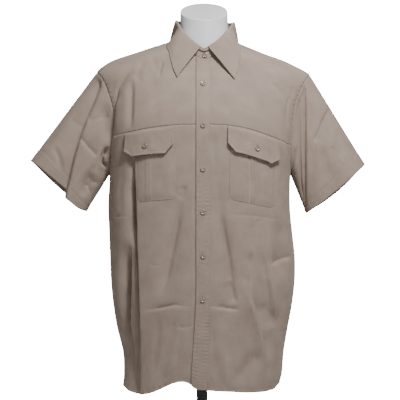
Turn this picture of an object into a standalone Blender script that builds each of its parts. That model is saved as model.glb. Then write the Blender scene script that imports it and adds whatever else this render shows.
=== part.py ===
"""A short-sleeve button-front shirt on a limbless torso form with a stand.

+X is the wearer's left, which is the right of a front view, -Y is the front and +Z is up.
The origin is the middle of the base's underside. Sizes are in millimetres, and M turns them into metres.
The shirt's outer surface is one function of an angle round the body and a path length up its side, so that
every panel, pocket and band takes its points from the same cloth.
"""

import math

import bmesh
import bpy
import numpy as np
from mathutils import Vector

M = 0.001

# Cloth: wall of one layer, gap between pieces, and the stiffened collar's wall.
CLOTH = 1.0
GAP = 0.3
COLLAR_WALL = 1.5
HALF_SEAM = 0.5 * GAP

# Heights. Those on the shirt and the form are measured up from HEM_Z, which lies just below the hem.
HEM_Z = 150.0
UNDERARM = 493.0
CHEST_SEAM = 560.0
BACK_SEAM = 690.0
SHOULDER_TIP = 722.0
NECKLINE = 912.0

# Rings of the shirt's outer surface. path is the length up the side from the hem, over the shoulder's tip
# and on to the neck. The z columns are the ring's heights at the sides, the front and the back, the next four
# its half widths and half depths, square the exponent of its outline, mid_x and mid_y its middle, and vee
# how its front dips or rises between the sides: 4 is flat in the middle, 2 round and 1 a straight vee.
RING_COLUMNS = ("path", "z_right", "z_left", "z_front", "z_back",
                "right", "left", "front", "back", "square", "mid_x", "mid_y", "vee")
RINGS = (
    (0, 20, 26, 29, 16, 178, 174, 112, 112, 2.30, 0, 0, 2),
    (40, 44, 47, 50, 46, 176, 180, 114, 112, 2.30, 0, 0, 2),
    (95, 95, 95, 98, 95, 178, 184, 116, 112, 2.35, 0, 0, 2),
    (150, 150, 150, 152, 150, 191, 193, 118, 112, 2.35, 0, 0, 2),
    (205, 205, 205, 207, 205, 200, 203, 120, 112, 2.35, 0, 0, 2),
    (260, 260, 260, 262, 260, 205, 209, 121, 112, 2.35, 0, 0, 2),
    (310, 310, 310, 312, 310, 207, 209, 122, 112, 2.35, 0, 0, 2),
    (365, 365, 365, 368, 366, 209, 203, 123, 113, 2.40, 0, 0, 2),
    (420, 420, 420, 426, 422, 211, 198, 124, 115, 2.45, 0, 0, 2),
    (493, 493, 493, 508, 500, 208, 199, 126, 118, 2.50, 0, 0, 2),
    (560, 573, 551, 601, 588, 211, 207, 125, 120, 2.45, 0, 0, 4),
    (640, 640, 638, 656, 668, 220, 224, 113, 118, 2.25, 0, 0, 2),
    (718, 720, 715, 701, 738, 241, 243, 92, 104, 1.95, 2, 4, 2),
    (765, 744, 742, 720, 765, 217, 199, 81, 92, 1.85, 3, 5, 2),
    (840, 770, 767, 735, 790, 148, 134, 71, 75, 1.90, 4, 5, 1.8),
    (912, 797, 793, 748, 812, 66, 70, 63, 60, 2.00, 5, 6, 1.4),
)

# The hem's height across the front, by x, and how far up the cloth its shape fades out.
HEM_LINE = ((-180, 27), (-173, 18), (-154, 9), (-138, 7), (-123, 9), (-97, 18), (-79, 27), (-64, 34),
            (-27, 33), (-16, 24), (8, 20), (26, 18), (60, 16), (105, 13), (149, 15), (162, 18), (172, 27))
HEM_FADE = 130.0

# Space between the shirt's outer surface and the torso form, at the front, the sides and the back.
FORM_COLUMNS = ("path", "at_front", "at_side", "at_back")
FORM_GAPS = (
    (75, 16, 18, 16),
    (150, 20, 34, 20),
    (300, 25, 52, 22),
    (400, 19, 40, 16),
    (493, 14, 27, 12),
    (560, 11, 24, 10),
    (640, 8, 21, 8),
    (700, 6, 16, 6),
    (725, 7, 11, 5),
    (765, 7.0, 3.8, 5.0),
    (800, 6.0, 3.3, 4.2),
    (880, 6.0, 2.8, 3.4),
    (912, 10.0, 5.0, 5.0),
)

# Large folds. right_width and left_width are a trough's reach on the wearer's right and left of its path,
# and a negative depth is a ridge. The path runs downwards as x, height.
FOLD_COLUMNS = ("right_width", "left_width", "depth", "path")
FRONT_FOLDS = (
    # The spare width gathered at the wearer's right side, which hangs as one long overlapping fold.
    (24, 5, 12, ((-156, 528), (-154, 500), (-152, 469), (-150, 404), (-148, 327))),
    (28, 6, 18, ((-150, 400), (-148, 330), (-146, 280), (-144, 218), (-142, 120), (-142, -60))),
    (6, 5, 5, ((-172, 330), (-166, 250), (-160, 150), (-160, 10))),
    # Soft troughs that fall from the pockets.
    (16, 14, 5, ((-39, 466), (-54, 371), (-72, 284), (-89, 207))),
    (15, 13, 4.5, ((-66, 210), (-68, 140), (-85, 80), (-94, 0))),
    (15, 15, 5, ((35, 540), (35, 404), (52, 327), (70, 240), (81, 180))),
    # Ridges down the wearer's left side.
    (15, 12, -6, ((98, 320), (113, 197), (133, 120), (140, 0))),
    (12, 12, -5, ((138, 300), (150, 240), (164, 170))),
    (14, 14, 5, ((176, 400), (172, 330), (168, 260))),
    # The fold that falls from the right shoulder to the underarm.
    (11, 10, 4, ((-139, 742), (-166, 710), (-185, 680), (-193, 640))),
    (13, 12, 3.5, ((-118, 745), (-108, 700), (-104, 640), (-106, 580))),
)
BACK_FOLDS = (
    (14, 14, 6, ((-70, 690), (-78, 560), (-84, 400), (-96, 220), (-104, 10))),
    (12, 12, -5, ((-38, 560), (-40, 400), (-48, 220), (-54, 10))),
    (14, 14, 6, ((64, 690), (74, 560), (78, 400), (92, 220), (98, 10))),
    (12, 12, -5, ((30, 560), (34, 400), (38, 220), (44, 10))),
    (12, 12, 5, ((-2, 480), (2, 340), (-4, 180), (0, 10))),
    (11, 11, 6, ((148, 480), (150, 360), (146, 220), (140, 60))),
    (11, 11, 6, ((-152, 480), (-154, 360), (-150, 220), (-142, 60))),
)

# Armholes: how far round from the side, in degrees, they reach to the front and the back.
ARMHOLE_FRONT = 15.0
ARMHOLE_BACK = 18.0
# The yoke's front seam lies this many degrees round from the side at the tip and at the neck.
SHOULDER_SEAM = ((700, 85.6), (765, 84.5), (912, 70.0))

# Sleeve hems as (x, height) of the outer and the inner corner, half depth, and how far the hem's front and
# back hang past the line between the corners.
SLEEVE_COLUMNS = ("outer", "inner", "half_depth", "front_drop", "back_drop", "mid_y")
SLEEVES = {
    "right": ((-386, 524), (-259, 412), 46, -3, 12, 2),
    "left": ((366, 517), (234, 407), 47, 1, 15, 2),
}
# Past this turn the sleeve's underside leaves the body outwards, with a gap of its own.
UNDER_FROM = math.radians(85)
UNDER_EASE = math.radians(35)
UNDER_GAP = 0.45
# Shares of the way from the armhole to the sleeve's hem at which it has rows, and that way's length.
SLEEVE_ROWS = (0.1, 0.22, 0.35, 0.48, 0.61, 0.74, 0.87, 1.0)
SLEEVE_LENGTH = 190.0
SLEEVE_FOLDS = {
    # The pressed crease of the right sleeve, and hollows below it.
    "right": (
        (5, 5, 7, ((-233, 712), (-247, 640), (-268, 560), (-290, 480), (-305, 430))),
        (14, 14, 4, ((-222, 660), (-214, 610), (-208, 560))),
        (10, 14, 6, ((-240, 500), (-262, 470), (-268, 440))),
        (10, 10, 6, ((-212, 560), (-216, 510), (-224, 480))),
    ),
    # The long fold that falls from the left shoulder to the inner corner of the hem.
    "left": (
        (11, 5, 12, ((226, 690), (224, 620), (222, 560), (224, 500), (228, 450))),
        (9, 9, 4, ((250, 640), (246, 560), (244, 480), (242, 430))),
        (6, 6, 4, ((284, 628), (270, 595), (256, 570))),
    ),
}

# Placket: its edges at the top, how far it drifts towards the hem and from which height down.
PLACKET_EDGES = (-13.0, 17.5)
PLACKET_DRIFT = -11.0
PLACKET_DRIFT_FROM = 250.0
# How far the wearer's right front dips to pass under the left one.
UNDERLAP_DIP = 1.55
BUTTON_X = 2.2
BUTTON_HEIGHTS = (691.0, 599.5, 504.5, 410.5, 314.5, 218.5)
# How far up the collar band its button lies.
COLLAR_BUTTON_RISE = 0.36
BUTTON_RADIUS = 5.6
BUTTON_THICK = 2.4

# Pockets and flaps, as outlines' corners in the front view.
POCKETS = {
    "right": {"left_x": -141.0, "right_x": -57.0, "bottom": 435.0, "drop": -6.0, "pleat_x": -116.0},
    "left": {"left_x": 60.0, "right_x": 158.0, "bottom": 428.0, "drop": 20.0, "pleat_x": 112.0},
}
FLAPS = {
    "right": {"inner": -61.0, "outer": -168.0, "side": 41.0, "corner": 18.5, "middle": 60.5, "button_x": -123.0},
    "left": {"inner": 56.0, "outer": 167.0, "side": 41.0, "corner": 16.5, "middle": 59.5, "button_x": 119.5},
}
FLAP_LIFT = 4.0
PLEAT_RISE = 1.2
PLEAT_HALF = 7.5
POCKET_EASE = 0.4
POCKET_MITRE = 7.0
# How far below the chest seam the pocket's mouth lies.
POCKET_MOUTH = 10.0

# Collar band: its height at the front and the back, and how far its top edge leans in.
STAND_FRONT = 26.0
STAND_BACK = 35.0
# How much higher than a level line between them it stands at the sides.
STAND_SIDE = 8.0
STAND_LEAN = 5.0
# How many of the stand's columns, from its right end, lie under its left end.
STAND_UNDER = 3
STAND_RAISE = 0.6
# Collar leaf: how far it rolls out over the band and down before it falls, how far it bows out on the way,
# and how high its edge and its points lie over the shirt.
ROLL_REACH = 4.6
ROLL_DROP = 1.0
LEAF_BOW = 3.2
# The share of that bow at the back, and between which shares of the way to the points it grows to the whole.
SIDE_BOW = 0.4
SIDE_BOW_FROM = 0.62
SIDE_BOW_EASE = 0.18
LEAF_LIFT = 3.4
POINT_LIFT = 1.8
# The leaf's outer edge on each side: share of the way from the back's middle to the point, then the place in
# the front view from the collar's middle, or the angle in degrees and the path.
LEAF_MIDDLE = 6.0
LEAF_FRONT = {
    "right": ((1.0, 61.5, 706.0), (0.93, 71.0, 729.0), (0.86, 76.0, 748.0), (0.78, 81.0, 768.0)),
    "left": ((1.0, 66.0, 701.0), (0.93, 73.0, 726.0), (0.86, 77.0, 748.0), (0.78, 79.5, 768.0)),
}
LEAF_BACK = ((0.7, 81, 904), (0.55, 108, 895), (0.3, 142, 888))
LEAF_BACK_MIDDLE = 886.0
LEAF_FRONT_TURN = 173.0

# Stand and form.
FORM_BOTTOM = 75.0
# The foot of the form turns in to this share of its lowest ring.
FORM_FOOT = 0.965
# The form's neck and the cap on it. tilt is how much a ring rises for each millimetre towards the back.
NECK_COLUMNS = ("height", "half_width", "half_depth", "tilt")
NECK_RINGS = ((820, 55.5, 49.5, 0.10), (838, 54, 49, 0.27), (858, 53.5, 48.5, 0.50))
CAP_RINGS = ((858.3, 53.5, 48.5, 0.50), (860.1, 53.3, 48.3, 0.50), (861.4, 51.8, 46.9, 0.50),
             (861.9, 47, 42.5, 0.50), (862.2, 30, 27, 0.50), (862.3, 10, 9, 0.50))
NECK_MIDDLE = (4.5, 5.0)
FLANGE_RADIUS = 32.0
FLANGE_THICK = 9.0
POLE_RADIUS = 12.5
BASE_RADIUS = 160.0
BASE_THICK = 8.0
BASE_SOCKET = (20.0, 22.0)


def smooth_curve(xs, ys, at):
    """A smooth curve through the points (xs, ys), with straight ends."""
    xs = np.asarray(xs, float)
    ys = np.asarray(ys, float)
    steps = np.diff(xs)
    slopes = np.diff(ys) / steps
    bends = np.empty_like(xs)
    bends[0] = slopes[0]
    bends[-1] = slopes[-1]
    bends[1:-1] = (slopes[:-1] * steps[1:] + slopes[1:] * steps[:-1]) / (steps[:-1] + steps[1:])
    at = np.asarray(at, float)
    inside = np.clip(at, xs[0], xs[-1])
    i = np.clip(np.searchsorted(xs, inside, side="right") - 1, 0, len(xs) - 2)
    t = (inside - xs[i]) / steps[i]
    value = ((2 * t**3 - 3 * t**2 + 1) * ys[i] + (t**3 - 2 * t**2 + t) * steps[i] * bends[i]
             + (-2 * t**3 + 3 * t**2) * ys[i + 1] + (t**3 - t**2) * steps[i] * bends[i + 1])
    return value + (at - inside) * np.where(at < xs[0], bends[0], bends[-1])


def step_up(t):
    """0 to 1 with soft ends."""
    t = np.clip(t, 0, 1)
    return t * t * (3 - 2 * t)


RING_TABLE = {name: np.array([row[i] for row in RINGS], float) for i, name in enumerate(RING_COLUMNS)}


def ring_value(name, path):
    return smooth_curve(RING_TABLE["path"], RING_TABLE[name], path)


def plain_surface(angle, path):
    """The shirt's outer surface with no folds. angle is 0 at the front and 90 degrees at the wearer's left."""
    angle, path = np.broadcast_arrays(np.asarray(angle, float), np.asarray(path, float))
    side, ahead = np.sin(angle), np.cos(angle)
    half_width = np.where(side > 0, ring_value("left", path), ring_value("right", path))
    half_depth = np.where(ahead > 0, ring_value("front", path), ring_value("back", path))
    square = ring_value("square", path)
    reach = (np.abs(side / half_width) ** square + np.abs(ahead / half_depth) ** square) ** (-1 / square)
    x = ring_value("mid_x", path) + reach * side
    y = ring_value("mid_y", path) - reach * ahead
    end_z = np.where(ahead > 0, ring_value("z_front", path), ring_value("z_back", path))
    side_z = np.where(side > 0, ring_value("z_left", path), ring_value("z_right", path))
    to_side = np.where(ahead > 0, np.abs(side) ** ring_value("vee", path), side**2)
    z = end_z + (side_z - end_z) * to_side
    hem_x, hem_z = zip(*HEM_LINE)
    hem_side = np.where(side > 0, ring_value("z_left", 0.0), ring_value("z_right", 0.0))
    level = smooth_curve(hem_x, hem_z, x) - (ring_value("z_front", 0.0) * ahead**2 + hem_side * side**2)
    z = z + np.where(ahead > 0, level * step_up(ahead / 0.3), 0) * step_up(1 - path / HEM_FADE)
    return np.stack([x, y, z], -1)


def fold_depth(x, z, folds):
    """How far the folds push a point in, from its place in the front view."""
    total = np.zeros(np.shape(x))
    for fold in folds:
        facts = dict(zip(FOLD_COLUMNS, fold))
        points = np.array(facts["path"], float)
        lengths = np.hypot(*np.diff(points, axis=0).T)
        starts = np.concatenate([[0], np.cumsum(lengths)])
        nearest = np.full(np.shape(x), 1e9)
        signed = np.zeros(np.shape(x))
        along = np.zeros(np.shape(x))
        for (ax, az), (bx, bz), start, length in zip(points[:-1], points[1:], starts, lengths):
            dx, dz = (bx - ax) / length, (bz - az) / length
            t = np.clip((x - ax) * dx + (z - az) * dz, 0, length)
            away_x, away_z = x - ax - t * dx, z - az - t * dz
            far = np.hypot(away_x, away_z)
            closer = far < nearest
            nearest = np.where(closer, far, nearest)
            signed = np.where(closer, away_x, signed)
            along = np.where(closer, start + t, along)
        width = np.where(signed < 0, facts["right_width"], facts["left_width"])
        ease = 0.3 * starts[-1]
        fade = step_up(along / ease) * step_up((starts[-1] - along) / ease)
        total = total + facts["depth"] * fade * np.exp(-(nearest / width) ** 2)
    return total


def folded_surface(angle, path):
    """The shirt's outer surface with its large folds."""
    plain = plain_surface(angle, path)
    outward = normals_of(plain_surface, angle, path)
    ahead = np.cos(angle) + 0 * plain[..., 0]
    front = fold_depth(plain[..., 0], plain[..., 2], FRONT_FOLDS) * step_up(ahead / 0.25)
    back = fold_depth(plain[..., 0], plain[..., 2], BACK_FOLDS) * step_up(-ahead / 0.25)
    return plain - outward * (front + back)[..., None]


def normals_of(surface, angle, path):
    """Outward unit normals of a surface of angle and path."""
    turn, rise = 0.004, 0.6
    across = surface(angle + turn, path) - surface(angle - turn, path)
    up = surface(angle, path + rise) - surface(angle, path - rise)
    found = np.cross(across, up)
    return found / np.linalg.norm(found, axis=-1, keepdims=True)


def cloth(angle, path, lift=0.0):
    """Points of the shirt moved out by lift, and their outward normals."""
    outward = normals_of(folded_surface, angle, path)
    return folded_surface(angle, path) + outward * np.asarray(lift, float)[..., None], outward


def place_on_front(x, z):
    """The angle and path of the front's point that a front view shows at x, z."""
    x, z = np.broadcast_arrays(np.asarray(x, float), np.asarray(z, float))
    angle = np.arctan2(x, 118.0)
    path = np.array(z)
    for _ in range(14):
        here = plain_surface(angle, path)
        turned = plain_surface(angle + 1e-4, path)
        raised = plain_surface(angle, path + 0.1)
        ax, az = (turned[..., 0] - here[..., 0]) / 1e-4, (turned[..., 2] - here[..., 2]) / 1e-4
        px, pz = (raised[..., 0] - here[..., 0]) / 0.1, (raised[..., 2] - here[..., 2]) / 0.1
        off_x, off_z = x - here[..., 0], z - here[..., 2]
        scale = ax * pz - az * px
        angle = np.clip(angle + np.clip((off_x * pz - off_z * px) / scale, -0.15, 0.15), -1.55, 1.55)
        path = np.clip(path + np.clip((ax * off_z - az * off_x) / scale, -40, 40), -5, NECKLINE)
    return angle, path


def front_angle(x, path):
    """The angle at which the front has this x, along a ring."""
    path = np.asarray(path, float)
    angle = np.arctan2(x + 0 * path, 118.0)
    for _ in range(10):
        here = plain_surface(angle, path)[..., 0]
        angle = angle + (x - here) / ((plain_surface(angle + 1e-4, path)[..., 0] - here) / 1e-4)
    return angle


def drift(z):
    """The front edge leans to the wearer's right towards the hem."""
    return PLACKET_DRIFT * step_up((PLACKET_DRIFT_FROM - np.asarray(z, float)) / PLACKET_DRIFT_FROM)


# Solids


def material(name, colour, roughness, metallic=0.0):
    made = bpy.data.materials.get(name)
    if made is None:
        made = bpy.data.materials.new(name)
        made.use_nodes = True
        shader = made.node_tree.nodes["Principled BSDF"]
        shader.inputs["Base Color"].default_value = (*colour, 1)
        shader.inputs["Roughness"].default_value = roughness
        shader.inputs["Metallic"].default_value = metallic
    return made


def khaki():
    return material("khaki twill", (0.36, 0.29, 0.24), 0.9)


def button_plastic():
    return material("button plastic", (0.35, 0.30, 0.25), 0.35)


def form_white():
    return material("form white", (0.62, 0.62, 0.63), 0.4)


def stand_black():
    return material("stand black", (0.02, 0.02, 0.02), 0.4, 0.6)


def shirt_collection():
    made = bpy.data.collections.get("shirt_on_form")
    if made is None:
        made = bpy.data.collections.new("shirt_on_form")
        bpy.context.scene.collection.children.link(made)
    return made


def add_object(name, mesh, finish, smooth_degrees=40):
    mesh.materials.append(finish)
    mesh.shade_smooth()
    mesh.set_sharp_from_angle(angle=math.radians(smooth_degrees))
    made = bpy.data.objects.new(name, mesh)
    shirt_collection().objects.link(made)
    return made


def wall(name, outer, inner, finish, closed=False):
    """A cloth wall: a grid laid on the outer points, cut into triangles and extruded to the inner ones, so
    that both sides fold along the same lines."""
    rows, columns = outer.shape[:2]
    shell = bmesh.new()
    under = shell.verts.layers.float_vector.new("under")
    bmesh.ops.create_grid(shell, x_segments=columns - 1, y_segments=rows - 1, size=1)
    shell.verts.ensure_lookup_table()
    for vertex, top, bottom in zip(shell.verts, outer.reshape(-1, 3), inner.reshape(-1, 3)):
        vertex.co = Vector(top) * M + Vector((0, 0, HEM_Z * M))
        vertex[under] = Vector(bottom) * M + Vector((0, 0, HEM_Z * M))
    if closed:
        bmesh.ops.remove_doubles(shell, verts=shell.verts, dist=1e-6)
    bmesh.ops.triangulate(shell, faces=shell.faces, quad_method="FIXED")
    made = bmesh.ops.extrude_face_region(shell, geom=shell.faces[:])
    for item in made["geom"]:
        if isinstance(item, bmesh.types.BMVert):
            item.co = item[under]
    bmesh.ops.recalc_face_normals(shell, faces=shell.faces)
    mesh = bpy.data.meshes.new(name)
    shell.to_mesh(mesh)
    shell.free()
    return add_object(name, mesh, finish)


def panel(name, angle, path, lift=0.0, thick=CLOTH, finish=None):
    """A cloth piece over a grid of angles and paths."""
    outer, outward = cloth(angle, path, np.broadcast_to(lift, np.shape(angle)))
    return wall(name, outer, outer - thick * outward, finish or khaki())


def front_piece(name, x, z, lift=0.0, thick=CLOTH, finish=None):
    """A cloth piece over a grid of front-view places."""
    angle, path = place_on_front(x, z)
    return panel(name, angle, path, lift, thick, finish)


def turned(name, profile, place, axis, finish, steps=20):
    """A turned solid. The profile lists radius, height from the outer side's top down to the middle's foot."""
    mesh = bpy.data.meshes.new(name)
    mesh.from_pydata([(r * M, 0, h * M) for r, h in profile], [(i, i + 1) for i in range(len(profile) - 1)], [])
    made = bpy.data.objects.new(name, mesh)
    shirt_collection().objects.link(made)
    made.data.materials.append(finish)
    screw = made.modifiers.new("turn", "SCREW")
    screw.steps = steps
    screw.render_steps = steps
    screw.use_merge_vertices = True
    screw.merge_threshold = 0.00005
    screw.use_smooth_shade = True
    made.location = Vector(place) * M + Vector((0, 0, HEM_Z * M))
    made.rotation_mode = "QUATERNION"
    made.rotation_quaternion = Vector(axis).to_track_quat("Z", "Y")
    return made


# The armhole and the seams, in angle and path


def armhole(turn, side):
    """A point of the armhole: turn is 0 at the shoulder tip, 90 degrees at the front and 180 at the underarm."""
    reach = np.where(np.sin(turn) > 0, ARMHOLE_FRONT, ARMHOLE_BACK)
    round_it = np.abs(np.sin(turn)) ** 0.85 * np.sign(np.sin(turn)) * np.radians(reach)
    path = UNDERARM + (SHOULDER_TIP - UNDERARM) * (1 + np.cos(turn)) / 2
    return side * (math.pi / 2 - round_it), path


def armhole_angle(path, front, side):
    """The armhole's angle at a ring, on its front or back branch."""
    share = np.clip((np.asarray(path, float) - UNDERARM) / (SHOULDER_TIP - UNDERARM), 0, 1)
    turn = np.arccos(np.clip(2 * share - 1, -1, 1))
    return armhole(turn if front else -turn, side)[0]


def shoulder_seam(path):
    at, degrees = zip(*SHOULDER_SEAM)
    return np.radians(smooth_curve(at, degrees, path))


def armhole_turn(path):
    """The turn at which the armhole's front branch passes a path."""
    return math.acos(2 * (path - UNDERARM) / (SHOULDER_TIP - UNDERARM) - 1)


def corner_turn():
    """The turn at which the shoulder seam meets the armhole."""
    low, high = 0.0, 1.0
    for _ in range(40):
        middle = (low + high) / 2
        angle, path = armhole(middle, 1)
        if angle > shoulder_seam(path):
            low = middle
        else:
            high = middle
    return middle


# Turns at which every piece that meets an armhole has a point, from the underarm over the front, the yoke
# and the back to the underarm again.
CHEST_TURN = armhole_turn(CHEST_SEAM)
BACK_TURN = armhole_turn(BACK_SEAM)
CORNER_TURN = corner_turn()
LOW_FRONT_TURNS = np.linspace(math.pi, CHEST_TURN, 5)
HIGH_FRONT_TURNS = np.linspace(CHEST_TURN, CORNER_TURN, 7)
YOKE_TURNS = np.array([CORNER_TURN, 0.0, -0.4, -BACK_TURN])
BACK_TURNS = np.linspace(-BACK_TURN, -math.pi, 9)
# The yoke's columns between an armhole and the back's middle, and where the last armhole column meets the neck.
YOKE_MIDDLE_COLUMNS = 7
YOKE_NECK_TURN = math.radians(104)
# Shares of the way from the shoulder's tip to the neck at which the yoke and the fronts have rows.
SHOULDER_ROWS = np.array([0, 0.07, 0.15, 0.25, 0.4, 0.6, 0.8, 1.0])
LOWER_ROW = 43.0


def armhole_path(turn):
    return armhole(turn, 1)[1]


def front_outer_angle(path, side):
    """Where a front panel ends: the side seam, then the armhole, then the shoulder seam."""
    path = np.asarray(path, float)
    edge = np.where(path < UNDERARM, math.pi / 2, np.abs(armhole_angle(path, True, side)))
    edge = np.where(path >= armhole_path(CORNER_TURN) - 1e-6, shoulder_seam(path), edge)
    return side * edge


def even_rows(marks, step):
    """Paths from mark to mark, about step apart."""
    rows = []
    for low, high in zip(marks[:-1], marks[1:]):
        count = max(1, round((high - low) / step))
        rows.extend(low + (high - low) * i / count for i in range(count))
    return np.array([*rows, marks[-1]])


def lower_front_rows():
    """A lower front's rows, from the hem to the chest seam."""
    below = even_rows((0, 60, UNDERARM), LOWER_ROW)
    beside = armhole_path(LOW_FRONT_TURNS[1:])
    return np.concatenate([below, beside[:-1], [CHEST_SEAM - HALF_SEAM]])


def upper_front_rows():
    """An upper front's rows, from the chest seam to the neckline."""
    beside = armhole_path(HIGH_FRONT_TURNS)
    above = beside[-1] + (NECKLINE - HALF_SEAM - beside[-1]) * SHOULDER_ROWS[1:]
    return np.concatenate([[CHEST_SEAM + HALF_SEAM], beside[1:], above])


def seam_inset(angle, path, across):
    """Moves an edge in by half a seam's gap, given in millimetres round the body."""
    size = np.linalg.norm(plain_surface(angle + 1e-3, path) - plain_surface(angle - 1e-3, path), axis=-1) / 2e-3
    return angle + across / size


# Columns of the front panels beyond the placket, as shares of the way from there to the side. On the wearer's
# right the column FOLD_COLUMN follows the long fold, and the ones beside it lie close.
FOLD_COLUMN = 0.62
RIGHT_COLUMNS = (0, 0.13, 0.26, 0.38, 0.48, 0.55, 0.59, 0.62, 0.64, 0.67, 0.71, 0.76, 0.82, 0.88, 0.94, 1)
LEFT_COLUMNS = (0, 0.1, 0.2, 0.3, 0.4, 0.5, 0.6, 0.7, 0.8, 0.9, 1)
LONG_FOLD = ((0, -139), (120, -139), (218, -141), (290, -144), (404, -147), (469, -150), (530, -153))
DIP_FROM = 10.0
DIP_TO = 1.5


def placket_edges(path):
    """The x of the placket's two edges at each path."""
    height = plain_surface(0.0 * path, path)[..., 2]
    return PLACKET_EDGES[0] + drift(height), PLACKET_EDGES[1] + 0.5 * drift(height)


def front_grid(side, paths):
    """Angles and paths of a front panel's grid, with its seams inset. Under the placket its columns lie
    where the other front has them."""
    edge, far_edge = placket_edges(paths)
    middle = (edge + far_edge) / 2
    starts = [edge, middle, far_edge] if side > 0 else [far_edge, middle, edge - DIP_TO, edge - DIP_FROM]
    near = np.stack([front_angle(x, paths) for x in starts], 1)
    last = near[:, -1]
    whole = side * math.pi / 2 - last
    if side > 0:
        shares = np.broadcast_to(LEFT_COLUMNS, (len(paths), len(LEFT_COLUMNS)))
    else:
        fold_path = np.minimum(paths, LONG_FOLD[-1][0])
        fold_share = (front_angle(smooth_curve(*zip(*LONG_FOLD), fold_path), fold_path) - last) / whole
        shares = np.stack([np.interp(RIGHT_COLUMNS, (0, FOLD_COLUMN, 1), (0, at, 1)) for at in fold_share])
    end = seam_inset(front_outer_angle(paths, side), paths, -side * HALF_SEAM)
    cut_back = end - side * math.pi / 2
    far = last[:, None] + whole[:, None] * shares[:, 1:] + cut_back[:, None] * shares[:, 1:] ** 3
    angle = np.concatenate([near, far], 1)
    return angle, np.broadcast_to(paths[:, None], angle.shape)


def underlap_lift(shape, side):
    """The wearer's right front dips under the left one, by one layer and a gap."""
    lift = np.zeros(shape)
    if side < 0:
        lift[:, :3] = -UNDERLAP_DIP
    return lift


def make_fronts():
    for part, rows in (("lower", lower_front_rows()), ("upper", upper_front_rows())):
        for side, label in ((-1, "right"), (1, "left")):
            angle, path = front_grid(side, rows)
            panel(f"{part}_front_{label}", angle, path, underlap_lift(angle.shape, side))


def make_back():
    below = even_rows((0, 60, UNDERARM), LOWER_ROW)
    beside = armhole_path(BACK_TURNS[::-1])[1:]
    rows = np.concatenate([below, beside[:-1], [BACK_SEAM - HALF_SEAM]])
    shares = np.linspace(-1, 1, 21)
    ends = []
    for side in (1, -1):
        edge = np.where(rows < UNDERARM, side * math.pi / 2, armhole_angle(rows, False, side))
        ends.append(seam_inset(edge, rows, side * HALF_SEAM))
    cut_back = np.where(shares[None, :] < 0, (ends[0] - math.pi / 2)[:, None],
                        (-math.pi / 2 - ends[1])[:, None])
    angle = math.pi + shares[None, :] * (math.pi / 2 - cut_back * shares[None, :] ** 4)
    panel("back", angle, np.broadcast_to(rows[:, None], angle.shape))


def yoke_half(first, over_armhole):
    """Angles of the yoke's columns from the left shoulder seam to the back's middle, where the first ones
    meet the armhole."""
    middle = np.linspace(0, 1, YOKE_MIDDLE_COLUMNS + 1)[1:]
    return np.concatenate([over_armhole, first + (math.pi - first) * middle])


def yoke_neck_angles():
    """Angles of the yoke's columns at the neck, from the left shoulder seam round the back to the right."""
    start = float(shoulder_seam(NECKLINE))
    half = yoke_half(YOKE_NECK_TURN, start + (YOKE_NECK_TURN - start) * np.linspace(0, 1, len(YOKE_TURNS)))
    return np.concatenate([half, 2 * math.pi - half[-2::-1]])


def make_yoke():
    """One piece from the right shoulder seam over the back to the left one."""
    low_angle, low_path = armhole(YOKE_TURNS, 1)
    low_angle = yoke_half(low_angle[-1], low_angle)
    low_path = np.concatenate([low_path, np.full(YOKE_MIDDLE_COLUMNS, BACK_SEAM)])
    neck_angle = yoke_neck_angles()[:len(low_angle)]
    rise = SHOULDER_ROWS[:, None]
    path = low_path[None, :] + (NECKLINE - HALF_SEAM - low_path)[None, :] * rise
    angle = low_angle[None, :] + (neck_angle - low_angle)[None, :] * rise
    angle[:, 0] = seam_inset(shoulder_seam(path[:, 0]), path[:, 0], HALF_SEAM)
    path[0] += HALF_SEAM
    angle = np.concatenate([angle, 2 * math.pi - angle[:, -2::-1]], 1)
    path = np.concatenate([path, path[:, -2::-1]], 1)
    panel("yoke", angle, path)


# Sleeves


def sleeve_point(turn, share, label):
    """A point of a sleeve: turn goes round it from the top over the front, and share runs from the armhole
    to the hem."""
    side = 1 if label == "left" else -1
    facts = dict(zip(SLEEVE_COLUMNS, SLEEVES[label]))
    turn, share = np.broadcast_arrays(np.asarray(turn, float), np.asarray(share, float))
    start = folded_surface(*armhole(turn, side))
    under = step_up((np.abs((turn + math.pi) % (2 * math.pi) - math.pi) - UNDER_FROM) / UNDER_EASE)
    start = start + normals_of(folded_surface, *armhole(turn, side)) * (UNDER_GAP * under)[..., None]
    outer, inner = np.array(facts["outer"], float), np.array(facts["inner"], float)
    across = (outer + inner) / 2 + np.cos(turn)[..., None] * (outer - inner) / 2
    axis = np.array([(outer - inner)[1] * side, -(outer - inner)[0] * side]) / np.linalg.norm(outer - inner)
    drop = np.where(np.sin(turn) > 0, facts["front_drop"], facts["back_drop"]) * np.sin(turn) ** 2
    depth = facts["mid_y"] - facts["half_depth"] * np.sign(np.sin(turn)) * np.abs(np.sin(turn)) ** 0.8
    end = np.stack([across[..., 0] + axis[0] * drop, depth, across[..., 1] + axis[1] * drop], -1)
    between = start + (end - start) * share[..., None]
    fold = fold_depth(between[..., 0], between[..., 2], SLEEVE_FOLDS[label])
    fold = fold * step_up(np.sin(turn) / 0.35) * step_up(share / 0.12)
    between[..., 1] += fold
    return between


def sleeve_normal(turn, share, label):
    """Outward normals, which turn into the body's at the armhole unless the two walls face apart."""
    small_turn, small_share = 0.01, 0.01
    round_it = sleeve_point(turn + small_turn, share, label) - sleeve_point(turn - small_turn, share, label)
    share_low = np.clip(share - small_share, 0, 1)
    along = sleeve_point(turn, share + small_share, label) - sleeve_point(turn, share_low, label)
    found = np.cross(round_it, along) * (1 if label == "left" else -1)
    found /= np.linalg.norm(found, axis=-1, keepdims=True)
    return found


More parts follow.
